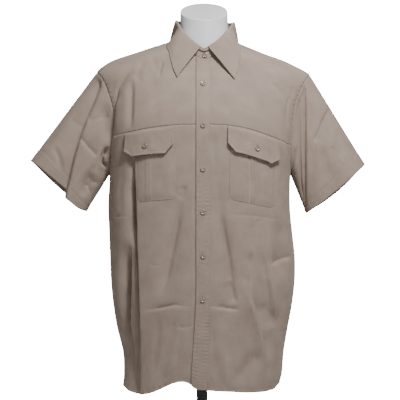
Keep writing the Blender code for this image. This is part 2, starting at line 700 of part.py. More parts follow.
def make_sleeve(label):
    side = 1 if label == "left" else -1
    round_front = np.concatenate([LOW_FRONT_TURNS[:-1], HIGH_FRONT_TURNS[:-1], YOKE_TURNS[:-1]])
    turn = np.concatenate([round_front, BACK_TURNS])
    turn, share = np.meshgrid(turn, (GAP / SLEEVE_LENGTH, *SLEEVE_ROWS))
    outer = sleeve_point(turn, share, label)
    outward = sleeve_normal(turn, share, label)
    body = normals_of(folded_surface, *armhole(turn[0], side))
    agree = (outward[0] * body).sum(-1)
    mixed = outward[0] + body * np.clip((agree + 0.2) / 0.6, 0, 1)[:, None]
    outward[0] = mixed / np.linalg.norm(mixed, axis=-1, keepdims=True)
    wall(f"sleeve_{label}", outer, outer - CLOTH * outward, khaki(), closed=True)


# Collar


def roll_line(turn):
    """The collar's top edge: turn is 0 at the back, 180 degrees at the front on either side."""
    ahead = -np.cos(turn)
    base = plain_surface(math.pi - turn, NECKLINE + 0 * turn)
    height = STAND_BACK + (STAND_FRONT - STAND_BACK) * step_up(ahead) + STAND_SIDE * np.sin(turn) ** 4
    centre = np.array([ring_value("mid_x", NECKLINE), ring_value("mid_y", NECKLINE)])
    outwards = base[..., :2] - centre
    outwards /= np.linalg.norm(outwards, axis=-1, keepdims=True)
    top = base.copy()
    top[..., :2] -= outwards * STAND_LEAN
    top[..., 2] += height
    return base, top, np.concatenate([outwards, np.zeros_like(outwards[..., :1])], -1)


def neckline_turns():
    """Turns of the neckline's points: those of the fronts and the yoke, from the right front's edge round
    the back to the left front's."""
    rows = upper_front_rows()[-1:]
    right = front_grid(-1, rows)[0][0]
    left = front_grid(1, rows)[0][0]
    return np.concatenate([-math.pi - right[:-1], math.pi - yoke_neck_angles()[::-1], math.pi - left[-2::-1]])


def make_stand():
    """The collar band. Its left end laps over the right one at the front, under the collar button."""
    turn = neckline_turns()
    base, top, outwards = roll_line(turn)
    inward = np.zeros(len(turn))
    inward[:STAND_UNDER] = COLLAR_WALL + GAP
    rise = np.linspace(0, 1, 3)[:, None, None]
    base = base + np.array([0, 0, 1]) * STAND_RAISE
    outer = base[None] + (top - base)[None] * rise - (outwards * inward[:, None])[None]
    wall("collar_stand", outer, outer - COLLAR_WALL * outwards[None], khaki())


def leaf_edge(share):
    """The collar leaf's outer edge, as angle and path on the shirt. share is -1 at the right point."""
    stops, angles, paths = [], [], []
    for side, label in ((-1, "right"), (1, "left")):
        rows = [(away, *place_on_front(LEAF_MIDDLE + side * x, z)) for away, x, z in LEAF_FRONT[label]]
        rows += [(away, side * math.radians(degrees), path) for away, degrees, path in LEAF_BACK]
        rows = sorted(rows, reverse=side < 0)
        for away, angle, path in rows:
            stops.append(side * away)
            angles.append(float(angle) + (2 * math.pi if side < 0 else 0))
            paths.append(float(path))
        if side < 0:
            stops.append(0.0)
            angles.append(math.pi)
            paths.append(LEAF_BACK_MIDDLE)
    return smooth_curve(stops, np.array(angles), share), smooth_curve(stops, paths, share)


def leaf_point(share, fall):
    """A point of the collar leaf: share runs from the right point round the back to the left one, and fall
    from the roll line to the outer edge."""
    share, fall = np.broadcast_arrays(np.asarray(share, float), np.asarray(fall, float))
    turn = math.radians(LEAF_FRONT_TURN) * share
    base, top, outwards = roll_line(turn)
    up = np.array([0, 0, 1])
    start = top + outwards * 0.2 + up * (COLLAR_WALL + GAP)
    shoulder = start + outwards * ROLL_REACH - up * ROLL_DROP
    angle, path = leaf_edge(share)
    lift = LEAF_LIFT + POINT_LIFT * step_up((np.abs(share) - 0.8) / 0.2)
    end = plain_surface(angle, path) + normals_of(plain_surface, angle, path) * lift[..., None]
    bow = LEAF_BOW * np.sin(math.pi * np.clip(fall, 0, 1))
    bow = bow * (SIDE_BOW + (1 - SIDE_BOW) * step_up((np.abs(share) - SIDE_BOW_FROM) / SIDE_BOW_EASE))
    first = step_up(fall / 0.16)[..., None]
    rest = np.clip((fall - 0.1) / 0.9, 0, 1)[..., None]
    rolled = start + (shoulder - start) * first
    outward = normals_of(plain_surface, angle, path)
    return rolled + (end - shoulder) * rest + (outward + outwards) * 0.5 * bow[..., None]


def make_leaf():
    inner = neckline_turns() / math.radians(LEAF_FRONT_TURN)
    share = np.concatenate([[-1], inner[np.abs(inner) < 0.985], [1]])
    fall = np.array([0, 0.06, 0.13, 0.3, 0.5, 0.75, 1.0])
    share, fall = np.meshgrid(share, fall)
    outer = leaf_point(share, fall)
    small = 0.01
    across = leaf_point(np.clip(share + small, -1, 1), fall) - leaf_point(np.clip(share - small, -1, 1), fall)
    down = leaf_point(share, np.clip(fall + small, 0, 1)) - leaf_point(share, np.clip(fall - small, 0, 1))
    outward = np.cross(across, down)
    outward /= np.linalg.norm(outward, axis=-1, keepdims=True)
    if (outward[-1, len(outward[0]) // 2] * np.array([0, 1, 0])).sum() < 0:
        outward = -outward
    wall("collar_leaf", outer, outer - COLLAR_WALL * outward, khaki())


# Placket, pockets and buttons


def make_placket():
    """The band along the left front's edge, down to the hem."""
    rows = np.concatenate([lower_front_rows()[:-1], upper_front_rows()])
    rows[0] += 2
    rows[-1] -= 2
    edge, far_edge = placket_edges(rows)
    angle = np.stack([front_angle(x, rows) for x in (edge, (edge + far_edge) / 2, far_edge)], 1)
    panel("placket", angle, np.broadcast_to(rows[:, None], angle.shape), GAP + CLOTH)


def chest_seam_height(x):
    """The height of the chest seam in the front view."""
    angle = front_angle(x, np.full(np.shape(x), CHEST_SEAM))
    return plain_surface(angle, CHEST_SEAM)[..., 2]


def pocket_bottom(label, x):
    facts = POCKETS[label]
    share = (x - facts["left_x"]) / (facts["right_x"] - facts["left_x"])
    return facts["bottom"] + facts["drop"] * (0.5 - share)


def make_pocket(label):
    """A patch pocket with a pleat down its middle and mitred lower corners."""
    facts = POCKETS[label]
    pleat = facts["pleat_x"]
    width = facts["right_x"] - facts["left_x"]
    foot = PLEAT_HALF + 2.5
    columns = np.array([facts["left_x"], facts["left_x"] + POCKET_MITRE, (facts["left_x"] + pleat) / 2 - 4,
                        pleat - foot, pleat - PLEAT_HALF, pleat + PLEAT_HALF, pleat + foot,
                        (facts["right_x"] + pleat) / 2 + 4, facts["right_x"] - POCKET_MITRE, facts["right_x"]])
    rows = np.linspace(0, 1, 9)
    x = np.broadcast_to(columns, (len(rows), len(columns)))
    mitre = POCKET_MITRE * (np.abs(x - facts["left_x"] - width / 2) > width / 2 - 1)
    low = pocket_bottom(label, x) + mitre
    high = chest_seam_height(x) - POCKET_MOUTH
    z = low + (high - low) * rows[:, None]
    raised = PLEAT_RISE * (np.abs(x - pleat) < PLEAT_HALF + 0.5) * step_up(rows[:, None] / 0.12)
    front_piece(f"pocket_{label}", x, z, GAP + CLOTH + POCKET_EASE + raised)


def flap_lift(down):
    """How far a flap's outer side stands off the front: sewn on at the top, then clear of the pocket's pleat."""
    over_pocket = 2 * (GAP + CLOTH) + POCKET_EASE + PLEAT_RISE + 0.2 + FLAP_LIFT * down**2
    return np.where(down > 0, over_pocket, GAP + CLOTH)


def make_flap(label):
    """A flap with two clipped corners, whose lower edge stands off the pocket."""
    facts = FLAPS[label]
    side = 1 if label == "left" else -1
    width = abs(facts["outer"] - facts["inner"])
    share = np.array([0, 0.075, 0.15, 0.3, 0.45, 0.6, 0.75, 0.85, 0.925, 1.0])
    x_line = facts["inner"] + side * width * share
    clip = facts["corner"] / width
    depth = np.interp(share, (0, clip, 1 - clip, 1),
                      (facts["side"], facts["middle"], facts["middle"], facts["side"]))
    rows = np.array([0, 0.14, 0.4, 0.7, 0.88, 1.0])
    x = np.broadcast_to(x_line, (len(rows), len(share)))
    top = chest_seam_height(x) - 0.5
    z = top - depth[None, :] * rows[:, None]
    lift = flap_lift(rows)[:, None]
    front_piece(f"flap_{label}", x, z, lift + 0 * x)


def button_profile(radius=BUTTON_RADIUS, thick=BUTTON_THICK):
    """Half of a button's section: a rounded rim round a dished middle."""
    return ((0, thick - 0.8), (radius * 0.55, thick - 0.8), (radius * 0.75, thick), (radius, thick * 0.7),
            (radius, 0.4), (radius * 0.9, 0), (0, 0))


def make_button(name, x, z, lift):
    angle, path = place_on_front(x, z)
    place, outward = cloth(angle, path, lift)
    turned(name, button_profile(), place, outward, button_plastic(), 12)


def make_buttons():
    for number, height in enumerate(BUTTON_HEIGHTS, 1):
        x = BUTTON_X + 0.75 * float(drift(height))
        make_button(f"button_front_{number}", x, height, 2 * GAP + CLOTH + 0.15)
    for label, facts in FLAPS.items():
        seam = float(chest_seam_height(facts["button_x"]))
        share = 0.62
        lift = float(flap_lift(np.array(share))) + GAP + 0.3
        make_button(f"button_flap_{label}", facts["button_x"], seam - share * facts["middle"], lift)


def make_collar_button():
    turn = math.radians(180 - 1.5)
    base, top, outwards = roll_line(np.array([turn]))
    place = base[0] + (top - base)[0] * COLLAR_BUTTON_RISE + outwards[0] * (GAP + 0.4)
    lean = Vector(outwards[0]) + Vector((0, 0, 0.16))
    turned("button_collar", button_profile(), place, lean, button_plastic(), 12)


# The form and its stand


def form_ring(path, columns):
    """One ring of the torso form, inside the shirt by its gap."""
    angle = np.linspace(0, 2 * math.pi, columns, endpoint=False)
    table = {name: [row[i] for row in FORM_GAPS] for i, name in enumerate(FORM_COLUMNS)}
    ahead = np.cos(angle)
    ends = np.where(ahead > 0, smooth_curve(table["path"], table["at_front"], path),
                    smooth_curve(table["path"], table["at_back"], path))
    gap = ends * ahead**2 + smooth_curve(table["path"], table["at_side"], path) * np.sin(angle) ** 2
    path = np.full(columns, float(path))
    return plain_surface(angle, path) - normals_of(plain_surface, angle, path) * gap[:, None]


def loft(name, rings, finish):
    """A closed solid through rings of equal count, capped at both ends."""
    rings = np.asarray(rings)
    around = np.concatenate([rings, rings[:, :1]], 1)
    shape = bmesh.new()
    bmesh.ops.create_grid(shape, x_segments=around.shape[1] - 1, y_segments=around.shape[0] - 1, size=1)
    shape.verts.ensure_lookup_table()
    for vertex, place in zip(shape.verts, around.reshape(-1, 3)):
        vertex.co = Vector(place) * M + Vector((0, 0, HEM_Z * M))
    bmesh.ops.remove_doubles(shape, verts=shape.verts, dist=1e-6)
    bmesh.ops.holes_fill(shape, edges=shape.edges, sides=0)
    bmesh.ops.recalc_face_normals(shape, faces=shape.faces)
    mesh = bpy.data.meshes.new(name)
    shape.to_mesh(mesh)
    shape.free()
    return add_object(name, mesh, finish)


def neck_ring(row, columns):
    """A ring of the neck or its cap, which slopes down to the front."""
    facts = dict(zip(NECK_COLUMNS, row))
    angle = np.linspace(0, 2 * math.pi, columns, endpoint=False)
    ahead = facts["half_depth"] * np.cos(angle)
    x = NECK_MIDDLE[0] + facts["half_width"] * np.sin(angle)
    return np.stack([x, NECK_MIDDLE[1] - ahead, facts["height"] - facts["tilt"] * ahead], -1)


def make_form():
    columns = 32
    paths = even_rows((FORM_BOTTOM + 8, 300, 493, 640, 700, 725, 765, 800, 880, NECKLINE), 60)
    rings = [form_ring(path, columns) for path in paths]
    foot = rings[0].copy()
    foot[:, :2] *= FORM_FOOT
    foot[:, 2] = FORM_BOTTOM
    neck = [neck_ring(row, columns) for row in NECK_RINGS]
    loft("torso_form", [foot, *rings, *neck], form_white())


def make_neck_cap():
    """The domed cap on the neck."""
    loft("neck_cap", [neck_ring(row, 32) for row in CAP_RINGS], form_white())


def make_stand_parts():
    floor = -HEM_Z
    turned("base", ((0, BASE_THICK), (BASE_RADIUS - 3, BASE_THICK), (BASE_RADIUS, BASE_THICK - 3),
                    (BASE_RADIUS, 0), (0, 0)), (0, 0, floor), (0, 0, 1), stand_black(), 48)
    socket_radius, socket_height = BASE_SOCKET
    inside = POLE_RADIUS + GAP
    turned("base_socket", ((inside, socket_height), (socket_radius - 2, socket_height),
                           (socket_radius, socket_height - 2), (socket_radius, 0), (inside, 0),
                           (inside, socket_height)),
           (0, 0, floor + BASE_THICK + GAP), (0, 0, 1), stand_black(), 24)
    pole_low = floor + BASE_THICK + GAP
    pole_high = FORM_BOTTOM - FLANGE_THICK - 2 * GAP
    turned("pole", ((0, pole_high - pole_low), (POLE_RADIUS, pole_high - pole_low), (POLE_RADIUS, 0), (0, 0)),
           (0, 0, pole_low), (0, 0, 1), stand_black(), 24)
    turned("flange", ((0, FLANGE_THICK), (FLANGE_RADIUS, FLANGE_THICK), (FLANGE_RADIUS, 2), (FLANGE_RADIUS - 2, 0),
                      (0, 0)), (0, 0, FORM_BOTTOM - GAP - FLANGE_THICK), (0, 0, 1), stand_black(), 24)


def main():
    for old in list(bpy.data.objects):
        bpy.data.objects.remove(old)
    make_fronts()
    make_back()
    make_yoke()
    for label in ("right", "left"):
        make_sleeve(label)
        make_pocket(label)
        make_flap(label)
    make_placket()
    make_stand()
    make_leaf()
    make_buttons()
    make_collar_button()
    make_form()
    make_neck_cap()
    make_stand_parts()


main()
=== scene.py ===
"""Looks of a short-sleeve button-front shirt on a limbless torso form.

+X is the wearer's left, -Y the front and +Z up. Sizes are in millimetres, and M turns them into metres. Each
cloth piece lies on the solid of its name: the same rings and large folds, some of them deeper here, with finer
creases, puckers, seams and sewing laid into them.
"""

import math

import bpy
import numpy as np
from mathutils import Matrix, Vector


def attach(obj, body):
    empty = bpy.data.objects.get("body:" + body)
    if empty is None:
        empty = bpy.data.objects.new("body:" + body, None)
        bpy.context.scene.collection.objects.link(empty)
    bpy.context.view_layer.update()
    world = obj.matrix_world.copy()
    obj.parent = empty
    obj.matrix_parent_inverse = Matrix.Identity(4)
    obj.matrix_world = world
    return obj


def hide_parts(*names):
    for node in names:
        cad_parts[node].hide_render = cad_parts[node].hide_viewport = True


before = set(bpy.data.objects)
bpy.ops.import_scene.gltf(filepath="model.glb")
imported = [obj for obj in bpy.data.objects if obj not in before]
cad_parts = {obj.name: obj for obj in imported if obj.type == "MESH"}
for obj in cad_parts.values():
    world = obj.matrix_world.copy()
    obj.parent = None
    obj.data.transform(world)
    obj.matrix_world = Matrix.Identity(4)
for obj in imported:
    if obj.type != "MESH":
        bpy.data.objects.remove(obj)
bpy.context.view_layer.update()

M = 0.001

# Cloth: wall of one layer, gap between pieces, and the stiffened collar's wall.
CLOTH = 1.0
GAP = 0.3
COLLAR_WALL = 1.5
# Half of what still shows between two sewn edges.
HALF_SEAM = 0.03
# Wall of the shells that stand for the cloth.
SHELL = 0.8
LEAF_WALL = 1.1

# Heights. Those on the shirt and the form are measured up from HEM_Z, which lies just below the hem.
HEM_Z = 150.0
UNDERARM = 493.0
CHEST_SEAM = 560.0
BACK_SEAM = 690.0
SHOULDER_TIP = 722.0
NECKLINE = 912.0

# Rings of the shirt's outer surface, as in the solids: path is the length up the side, the z columns are the
# ring's heights, the next four its half widths and half depths.
RING_COLUMNS = ("path", "z_right", "z_left", "z_front", "z_back",
                "right", "left", "front", "back", "square", "mid_x", "mid_y", "vee")
RINGS = (
    (0, 20, 26, 29, 16, 178, 174, 112, 112, 2.30, 0, 0, 2),
    (40, 44, 47, 50, 46, 176, 180, 114, 112, 2.30, 0, 0, 2),
    (95, 95, 95, 98, 95, 178, 184, 116, 112, 2.35, 0, 0, 2),
    (150, 150, 150, 152, 150, 191, 193, 118, 112, 2.35, 0, 0, 2),
    (205, 205, 205, 207, 205, 200, 203, 120, 112, 2.35, 0, 0, 2),
    (260, 260, 260, 262, 260, 205, 209, 121, 112, 2.35, 0, 0, 2),
    (310, 310, 310, 312, 310, 207, 209, 122, 112, 2.35, 0, 0, 2),
    (365, 365, 365, 368, 366, 209, 203, 123, 113, 2.40, 0, 0, 2),
    (420, 420, 420, 426, 422, 211, 198, 124, 115, 2.45, 0, 0, 2),
    (493, 493, 493, 508, 500, 208, 199, 126, 118, 2.50, 0, 0, 2),
    (560, 573, 551, 601, 588, 211, 207, 125, 120, 2.45, 0, 0, 4),
    (640, 640, 638, 656, 668, 220, 224, 113, 118, 2.25, 0, 0, 2),
    (718, 720, 715, 701, 738, 241, 243, 92, 104, 1.95, 2, 4, 2),
    (765, 744, 742, 720, 765, 217, 199, 81, 92, 1.85, 3, 5, 2),
    (840, 770, 767, 735, 790, 148, 134, 71, 75, 1.90, 4, 5, 1.8),
    (912, 797, 793, 748, 812, 66, 70, 63, 60, 2.00, 5, 6, 1.4),
)
HEM_LINE = ((-180, 27), (-173, 18), (-154, 9), (-138, 7), (-123, 9), (-97, 18), (-79, 27), (-64, 34),
            (-27, 33), (-16, 24), (8, 20), (26, 18), (60, 16), (105, 13), (149, 15), (162, 18), (172, 27))
HEM_FADE = 130.0
FORM_COLUMNS = ("path", "at_front", "at_side", "at_back")
FORM_GAPS = (
    (75, 16, 18, 16),
    (150, 20, 34, 20),
    (300, 25, 52, 22),
    (400, 19, 40, 16),
    (493, 14, 27, 12),
    (560, 11, 24, 10),
    (640, 8, 21, 8),
    (700, 6, 16, 6),
    (725, 7, 11, 5),
    (765, 7.0, 3.8, 5.0),
    (800, 6.0, 3.3, 4.2),
    (880, 6.0, 2.8, 3.4),
    (912, 10.0, 5.0, 5.0),
)

# Troughs, and ridges where the depth is negative. right_width and left_width are the reach on the right and the
# left of whoever walks along the path, given as x, height: on a path that runs down, left is the wearer's left,
# and on one that runs to the wearer's left, left is above it. The solids have most of these soft ones too, some
# of them less deep.
FOLD_COLUMNS = ("right_width", "left_width", "depth", "path")
FRONT_FOLDS = (
    (15, 4, 10, ((-155, 505), (-153, 480), (-152, 460), (-150, 404), (-148, 327))),
    (22, 3.4, 14, ((-150, 400), (-148, 330), (-146, 280), (-144, 218), (-142, 120), (-142, -60))),
    (6, 5, 5, ((-172, 330), (-166, 250), (-160, 150), (-160, 10))),
    (16, 14, 5, ((-39, 466), (-54, 371), (-72, 284), (-89, 207))),
    (15, 13, 4.5, ((-66, 210), (-68, 140), (-85, 80), (-94, 0))),
    (15, 15, 5, ((35, 540), (35, 404), (52, 327), (70, 240), (81, 180))),
    (15, 12, -6, ((98, 320), (113, 197), (133, 120), (140, 0))),
    (12, 12, -5, ((138, 300), (150, 240), (164, 170))),
    (14, 14, 5, ((176, 400), (172, 330), (168, 260))),
    (11, 10, 4, ((-139, 742), (-166, 710), (-185, 680), (-193, 640))),
    (13, 12, 1.2, ((-118, 745), (-108, 700), (-104, 640), (-106, 580))),
)
BACK_FOLDS = (
    (14, 14, 6, ((-70, 690), (-78, 560), (-84, 400), (-96, 220), (-104, 10))),
    (12, 12, -5, ((-38, 560), (-40, 400), (-48, 220), (-54, 10))),
    (14, 14, 6, ((64, 690), (74, 560), (78, 400), (92, 220), (98, 10))),
    (12, 12, -5, ((30, 560), (34, 400), (38, 220), (44, 10))),
    (12, 12, 5, ((-2, 480), (2, 340), (-4, 180), (0, 10))),
    (11, 11, 6, ((148, 480), (150, 360), (146, 220), (140, 60))),
    (11, 11, 6, ((-152, 480), (-154, 360), (-150, 220), (-142, 60))),
)

# Finer creases of the fronts, with soft bottoms.
FRONT_CREASES = (
    # The shaded furrow under the long fold's edge.
    (7.5, 2.2, 11, ((-154, 552), (-151, 510), (-149, 440), (-148, 380), (-147, 330))),
    (3, 2.0, 8, ((-147, 420), (-146, 330), (-143, 250), (-141, 170), (-140, 110))),
    (4, 1.6, 3, ((-141, 170), (-140, 110), (-139, 40), (-139, -60))),
    # Tension from the neck and the shoulders.
    (5, 4, 1.4, ((-129, 722), (-140, 709), (-136, 694))),
    (7, 5, 1.8, ((-112, 760), (-103, 736), (-96, 716))),
    (9, 4.5, 5.5, ((-155, 712), (-156, 650), (-158, 586))),
    (4, 7, 2.2, ((-128, 748), (-142, 722), (-152, 700))),
    (5, 3, 3.0, ((-86, 746), (-92, 726), (-94, 706))),
    (4, 5, 3.0, ((138, 730), (149, 710), (155, 695), (173, 675), (182, 652))),
    (3, 4, 2.4, ((146, 736), (160, 722), (176, 712))),
    (4, 3, 2.2, ((199, 690), (202, 664))),
    (3, 3, 2.2, ((197, 672), (190, 655), (186, 622), (188, 590))),
    (4, 4, 1.5, ((-190, 706), (-199, 692), (-205, 664))),
    # Under the chest seam beside the placket, and the tuck above the right pocket's corner.
    (8, 6, 1.6, ((24, 592), (26, 540), (30, 500))),
    (9, 7, 2.6, ((-38, 470), (-40, 452), (-50, 436))),
    # Soft drop folds of the lower fronts.
    (16, 4.5, 4.6, ((-46, 440), (-55, 371), (-74, 284), (-92, 210))),
    (10, 7, 2.4, ((-92, 192), (-98, 120), (-110, 40))),
    (12, 8, 2.0, ((-44, 182), (-50, 120), (-62, 60))),
    (16, 4, 3.6, ((42, 420), (52, 350), (61, 303), (66, 262), (71, 206))),
    (18, 6, 4.5, ((60, 262), (66, 238), (74, 206))),
    (18, 15, 4.0, ((122, 206), (138, 194), (152, 178), (160, 150))),
    (15, 17, 5.0, ((130, 112), (108, 80), (86, 54), (62, 32))),
    (10, 9, -2.2, ((44, 120), (50, 70), (58, 20))),
    (9, 9, 1.8, ((20, 180), (24, 120), (22, 50))),
    (9, 7, 2.0, ((140, 560), (150, 500), (160, 440))),
    (8, 6, 1.8, ((176, 560), (182, 500), (180, 450))),
    # The hanging strip beside the long fold.
    (6, 5, 1.4, ((-176, 500), (-180, 450), (-178, 400))),
    (12, 3.6, 28, ((-163, 350), (-168, 262), (-171, 215), (-171, 160), (-167, 112), (-161, 50))),
    (4, 4, 2.4, ((-152, 110), (-151, 70), (-152, 20))),
)

# Pressed lines, with sharp bottoms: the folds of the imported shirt, and the edges of folds that lie over.
FRONT_PRESSED = (
    # The fold across the shirt: above it the cloth faces down.
    (3, 11, 2.8, ((-140, 195), (-120, 195), (-98, 198), (-78, 203), (-61, 207), (-38, 204), (-16, 204))),
    (1.5, 6, 3.0, ((-108, 197), (-84, 201), (-52, 208))),
    (2.5, 13, 3.2, ((8, 204), (30, 203), (56, 199), (82, 195))),
    (1.5, 8, 3.8, ((30, 203), (60, 199), (86, 194))),
    (2, 5, 1.1, ((-200, 396), (-178, 400), (-155, 399))),
    (2, 5, 1.2, ((44, 405), (108, 402), (150, 396), (190, 391))),
    (3, 7, 1.8, ((-58, 158), (-36, 157), (-16, 164))),
    # Edges down the wearer's left side.
    (12, 3.0, 5.5, ((109, 330), (107, 303), (101, 274), (97, 240))),
    (10, 2.0, -5.8, ((98, 246), (109, 207), (118, 172), (128, 137), (133, 112), (136, 76))),
    (2.2, 19, 11.0, ((106, 240), (118, 200), (127, 166), (137, 122), (142, 84))),
    (15, 3.6, 8.5, ((134, 330), (143, 262), (153, 210), (163, 150))),
    (3, 22, 8.0, ((150, 290), (174, 303), (204, 313))),
    (2, 4, 1.5, ((110, 369), (121, 388), (136, 393))),
    (2, 2, 1.2, ((12, 56), (23, 36))),
    # The drape over the wearer's right armhole.
    (14, 2.2, 6.5, ((-146, 744), (-167, 716), (-188, 684), (-196, 640), (-199, 600), (-201, 556))),
    (2.5, 2.5, 1.0, ((-196, 505), (-186, 512), (-172, 512))),
    (2.5, 2.5, 0.8, ((-118, 594), (-90, 592), (-70, 596))),
    (2.2, 2.2, 0.7, ((-120, 300), (-104, 292), (-88, 296))),
)
BACK_CREASES = (
    (9, 9, 2.0, ((-120, 760), (-112, 700), (-104, 640))),
    (9, 9, 2.0, ((122, 758), (114, 700), (108, 640))),
    (8, 8, 2.2, ((-172, 640), (-150, 590), (-140, 520), (-138, 440))),
    (8, 8, 2.2, ((170, 642), (152, 590), (144, 520), (138, 450))),
    (6, 6, 1.6, ((-190, 590), (-176, 560), (-164, 520))),
    (6, 6, 1.6, ((190, 590), (178, 556), (166, 520))),
    (9, 9, 1.8, ((-20, 640), (-26, 540), (-18, 440))),
    (9, 9, 1.8, ((24, 600), (16, 500), (20, 400))),
    (8, 8, 1.6, ((112, 380), (118, 260), (124, 140))),
    (8, 8, 1.6, ((-120, 360), (-126, 250), (-128, 120))),
)
BACK_PRESSED = (
    (3.2, 3.2, 1.4, ((-190, 396), (-110, 402), (-30, 398), (60, 403), (130, 397), (195, 400))),
    (3.2, 3.2, 1.4, ((-170, 200), (-90, 206), (0, 202), (80, 207), (170, 201))),
    (2.6, 2.6, 0.9, ((-60, 760), (-20, 756), (30, 760))),
    (2.5, 2.5, 0.8, ((96, 330), (110, 322), (132, 326))),
    (2.5, 2.5, 0.8, ((-90, 520), (-72, 512), (-56, 516))),
)

ARMHOLE_FRONT = 15.0
ARMHOLE_BACK = 18.0
ARMHOLE_SQUARE = 0.85
SHOULDER_SEAM = ((700, 85.6), (765, 84.5), (912, 70.0))

# Sleeve hems: outer and inner corner as x, height, half depth, how far the front hangs past the line between the
# corners, by degrees round from the outer one, the same for the back's middle, and the middle's y.
SLEEVE_COLUMNS = ("outer", "inner", "half_depth", "front_drop", "back_drop", "mid_y")
SLEEVES = {
    "right": ((-386, 524), (-259, 412), 46, ((0, 0), (50, -5), (103, -7), (110, 9), (140, 8), (180, 0)), 5, 2),
    "left": ((366, 517), (234, 407), 47, ((0, 0), (50, 2), (90, 3), (130, 2), (180, 0)), 11, 2),
}
UNDER_FROM = math.radians(85)
UNDER_EASE = math.radians(35)
UNDER_GAP = 0.45
SLEEVE_LENGTH = 190.0
SLEEVE_HEM = 25.0
# How square the sleeve's mouth is, where 1 is an ellipse.
SLEEVE_SQUARE = 0.62
# How soon the front's and the back's folds start at the sleeve's sides, and how far apart their unevenness is.
SIDE_EASE = 0.35
BEHIND_SHIFT = 400
SLEEVE_FOLDS = {
    "right": (
        (14, 14, 4, ((-222, 660), (-214, 610), (-208, 560))),
        (10, 14, 6, ((-240, 500), (-262, 470), (-268, 440))),
        (10, 10, 5, ((-212, 560), (-216, 510), (-224, 480))),
        (6, 5, 3.0, ((-330, 560), (-318, 530), (-312, 500))),
        (7, 8, 2.6, ((-236, 520), (-250, 492), (-256, 462))),
        (3.4, 3.4, 10, ((-204, 556), (-214, 548), (-223, 534), (-222, 518), (-206, 506))),
        (4, 4, -2.6, ((-206, 540), (-211, 528), (-206, 516))),
    ),
    "left": (
        (10, 4, 4, ((228, 716), (229, 672), (229, 614), (229, 543), (230, 463), (231, 420))),
        (12, 10, 3.5, ((252, 700), (250, 640), (248, 560), (244, 480), (240, 430))),
        (5, 2.5, 4.0, ((214, 560), (208, 540), (202, 518), (194, 492))),
        (7, 7, 2.2, ((300, 600), (304, 560), (312, 520))),
        (9, 9, 2.4, ((266, 560), (274, 510), (278, 470))),
        (7, 7, -1.8, ((288, 580), (286, 540), (290, 500))),
    ),
}
# Pressed lines of the sleeves.
SLEEVE_CREASES = {
    "right": (
        (24, 1.5, 11, ((-224, 730), (-227, 690), (-242, 650), (-258, 614), (-271, 579), (-283, 539), (-292, 503),
                      (-299, 470), (-306, 440), (-314, 404))),
        (3, 9, 4.6, ((-272, 576), (-252, 552), (-232, 533))),
        (4, 8, 4, ((-258, 474), (-250, 454), (-246, 428))),
        (4, 9, 2.6, ((-254, 612), (-232, 618), (-206, 622))),
        (4, 4, 1.4, ((-294, 618), (-280, 608), (-266, 600))),
        (3, 6, 2.2, ((-262, 466), (-248, 478), (-232, 474))),
        (6, 3, 1.6, ((-318, 604), (-332, 580), (-346, 552))),
    ),
    "left": (
        (9, 1.6, 8.0, ((228, 728), (229, 690), (229, 614), (229, 543), (230, 463), (232, 410))),
        (8, 1.6, 8.0, ((214, 716), (217, 680), (218, 614), (219, 543), (222, 480), (228, 430))),
        (1.8, 9, 5.5, ((292, 648), (276, 628), (265, 606), (258, 588), (248, 566))),
        (3, 6, 1.6, ((330, 560), (338, 530), (334, 510))),
        (2.5, 2.5, 1.4, ((196, 488), (206, 494), (214, 492))),
        (4, 7, 1.6, ((286, 556), (296, 540), (306, 512))),
    ),
}
SLEEVE_BACK_FOLDS = {
    "right": (
        (9, 9, 5, ((-236, 700), (-252, 620), (-276, 540), (-300, 460))),
        (8, 8, 4, ((-222, 600), (-232, 540), (-250, 480))),
        (6, 6, 2.5, ((-300, 620), (-318, 580), (-330, 540))),
    ),
    "left": (
        (9, 9, 5, ((228, 700), (240, 620), (262, 540), (284, 460))),
        (8, 8, 4, ((212, 600), (222, 540), (236, 480))),
        (6, 6, 2.5, ((290, 620), (306, 580), (316, 540))),
    ),
}

# Placket, buttons, pockets and flaps.
PLACKET_EDGES = (-13.0, 17.5)
PLACKET_DRIFT = -11.0
PLACKET_DRIFT_FROM = 250.0
FAR_EDGE_DRIFT = 0.5
BUTTON_DRIFT = 0.75
UNDERLAP_DIP = 1.55
UNDERLAP_START = 8
UNDERLAP_EASE = 7
# How strongly the placket is gathered: everywhere, then more below a path, and more between two: strength, the
# paths, and over what length it rises.
PLACKET_GATHER = 0.3
PLACKET_BELOW = (1.1, 240, 90)
PLACKET_BETWEEN = ((0.5, 380, 480, 40), (0.4, 200, 360, 40))
BUTTON_X = 2.2
BUTTON_HEIGHTS = (691.0, 599.5, 504.5, 410.5, 314.5, 218.5)
# The collar button: its turn on the band, the share of the band's height, its distance and its tilt.
COLLAR_BUTTON_TURN = 178.5
COLLAR_BUTTON_RISE = 0.36
COLLAR_BUTTON_CLEAR = 0.4
COLLAR_BUTTON_TILT = 0.16
# How far the other buttons stand off their buttonholes' cloth, besides the gap.
FRONT_BUTTON_CLEAR = 0.15
FLAP_BUTTON_CLEAR = 0.3
BUTTON_RADIUS = 5.6
BUTTON_THICK = 2.4
POCKETS = {
    "right": {"left_x": -141.0, "right_x": -57.0, "bottom": 435.0, "drop": -6.0, "pleat_x": -116.0},
    "left": {"left_x": 60.0, "right_x": 158.0, "bottom": 428.0, "drop": 20.0, "pleat_x": 112.0},
}
FLAPS = {
    "right": {"inner": -61.0, "outer": -168.0, "corner": 18.5, "middle": 60.5, "button_x": -123.0,
              "depths": (38.0, 59.5, 55.0, 40.0)},
    "left": {"inner": 56.0, "outer": 167.0, "corner": 16.5, "middle": 59.5, "button_x": 119.5,
             "depths": (38.0, 56.0, 59.0, 43.0)},
}
FLAP_LIFT = 4.0
FLAP_BUTTON_SHARE = 0.62
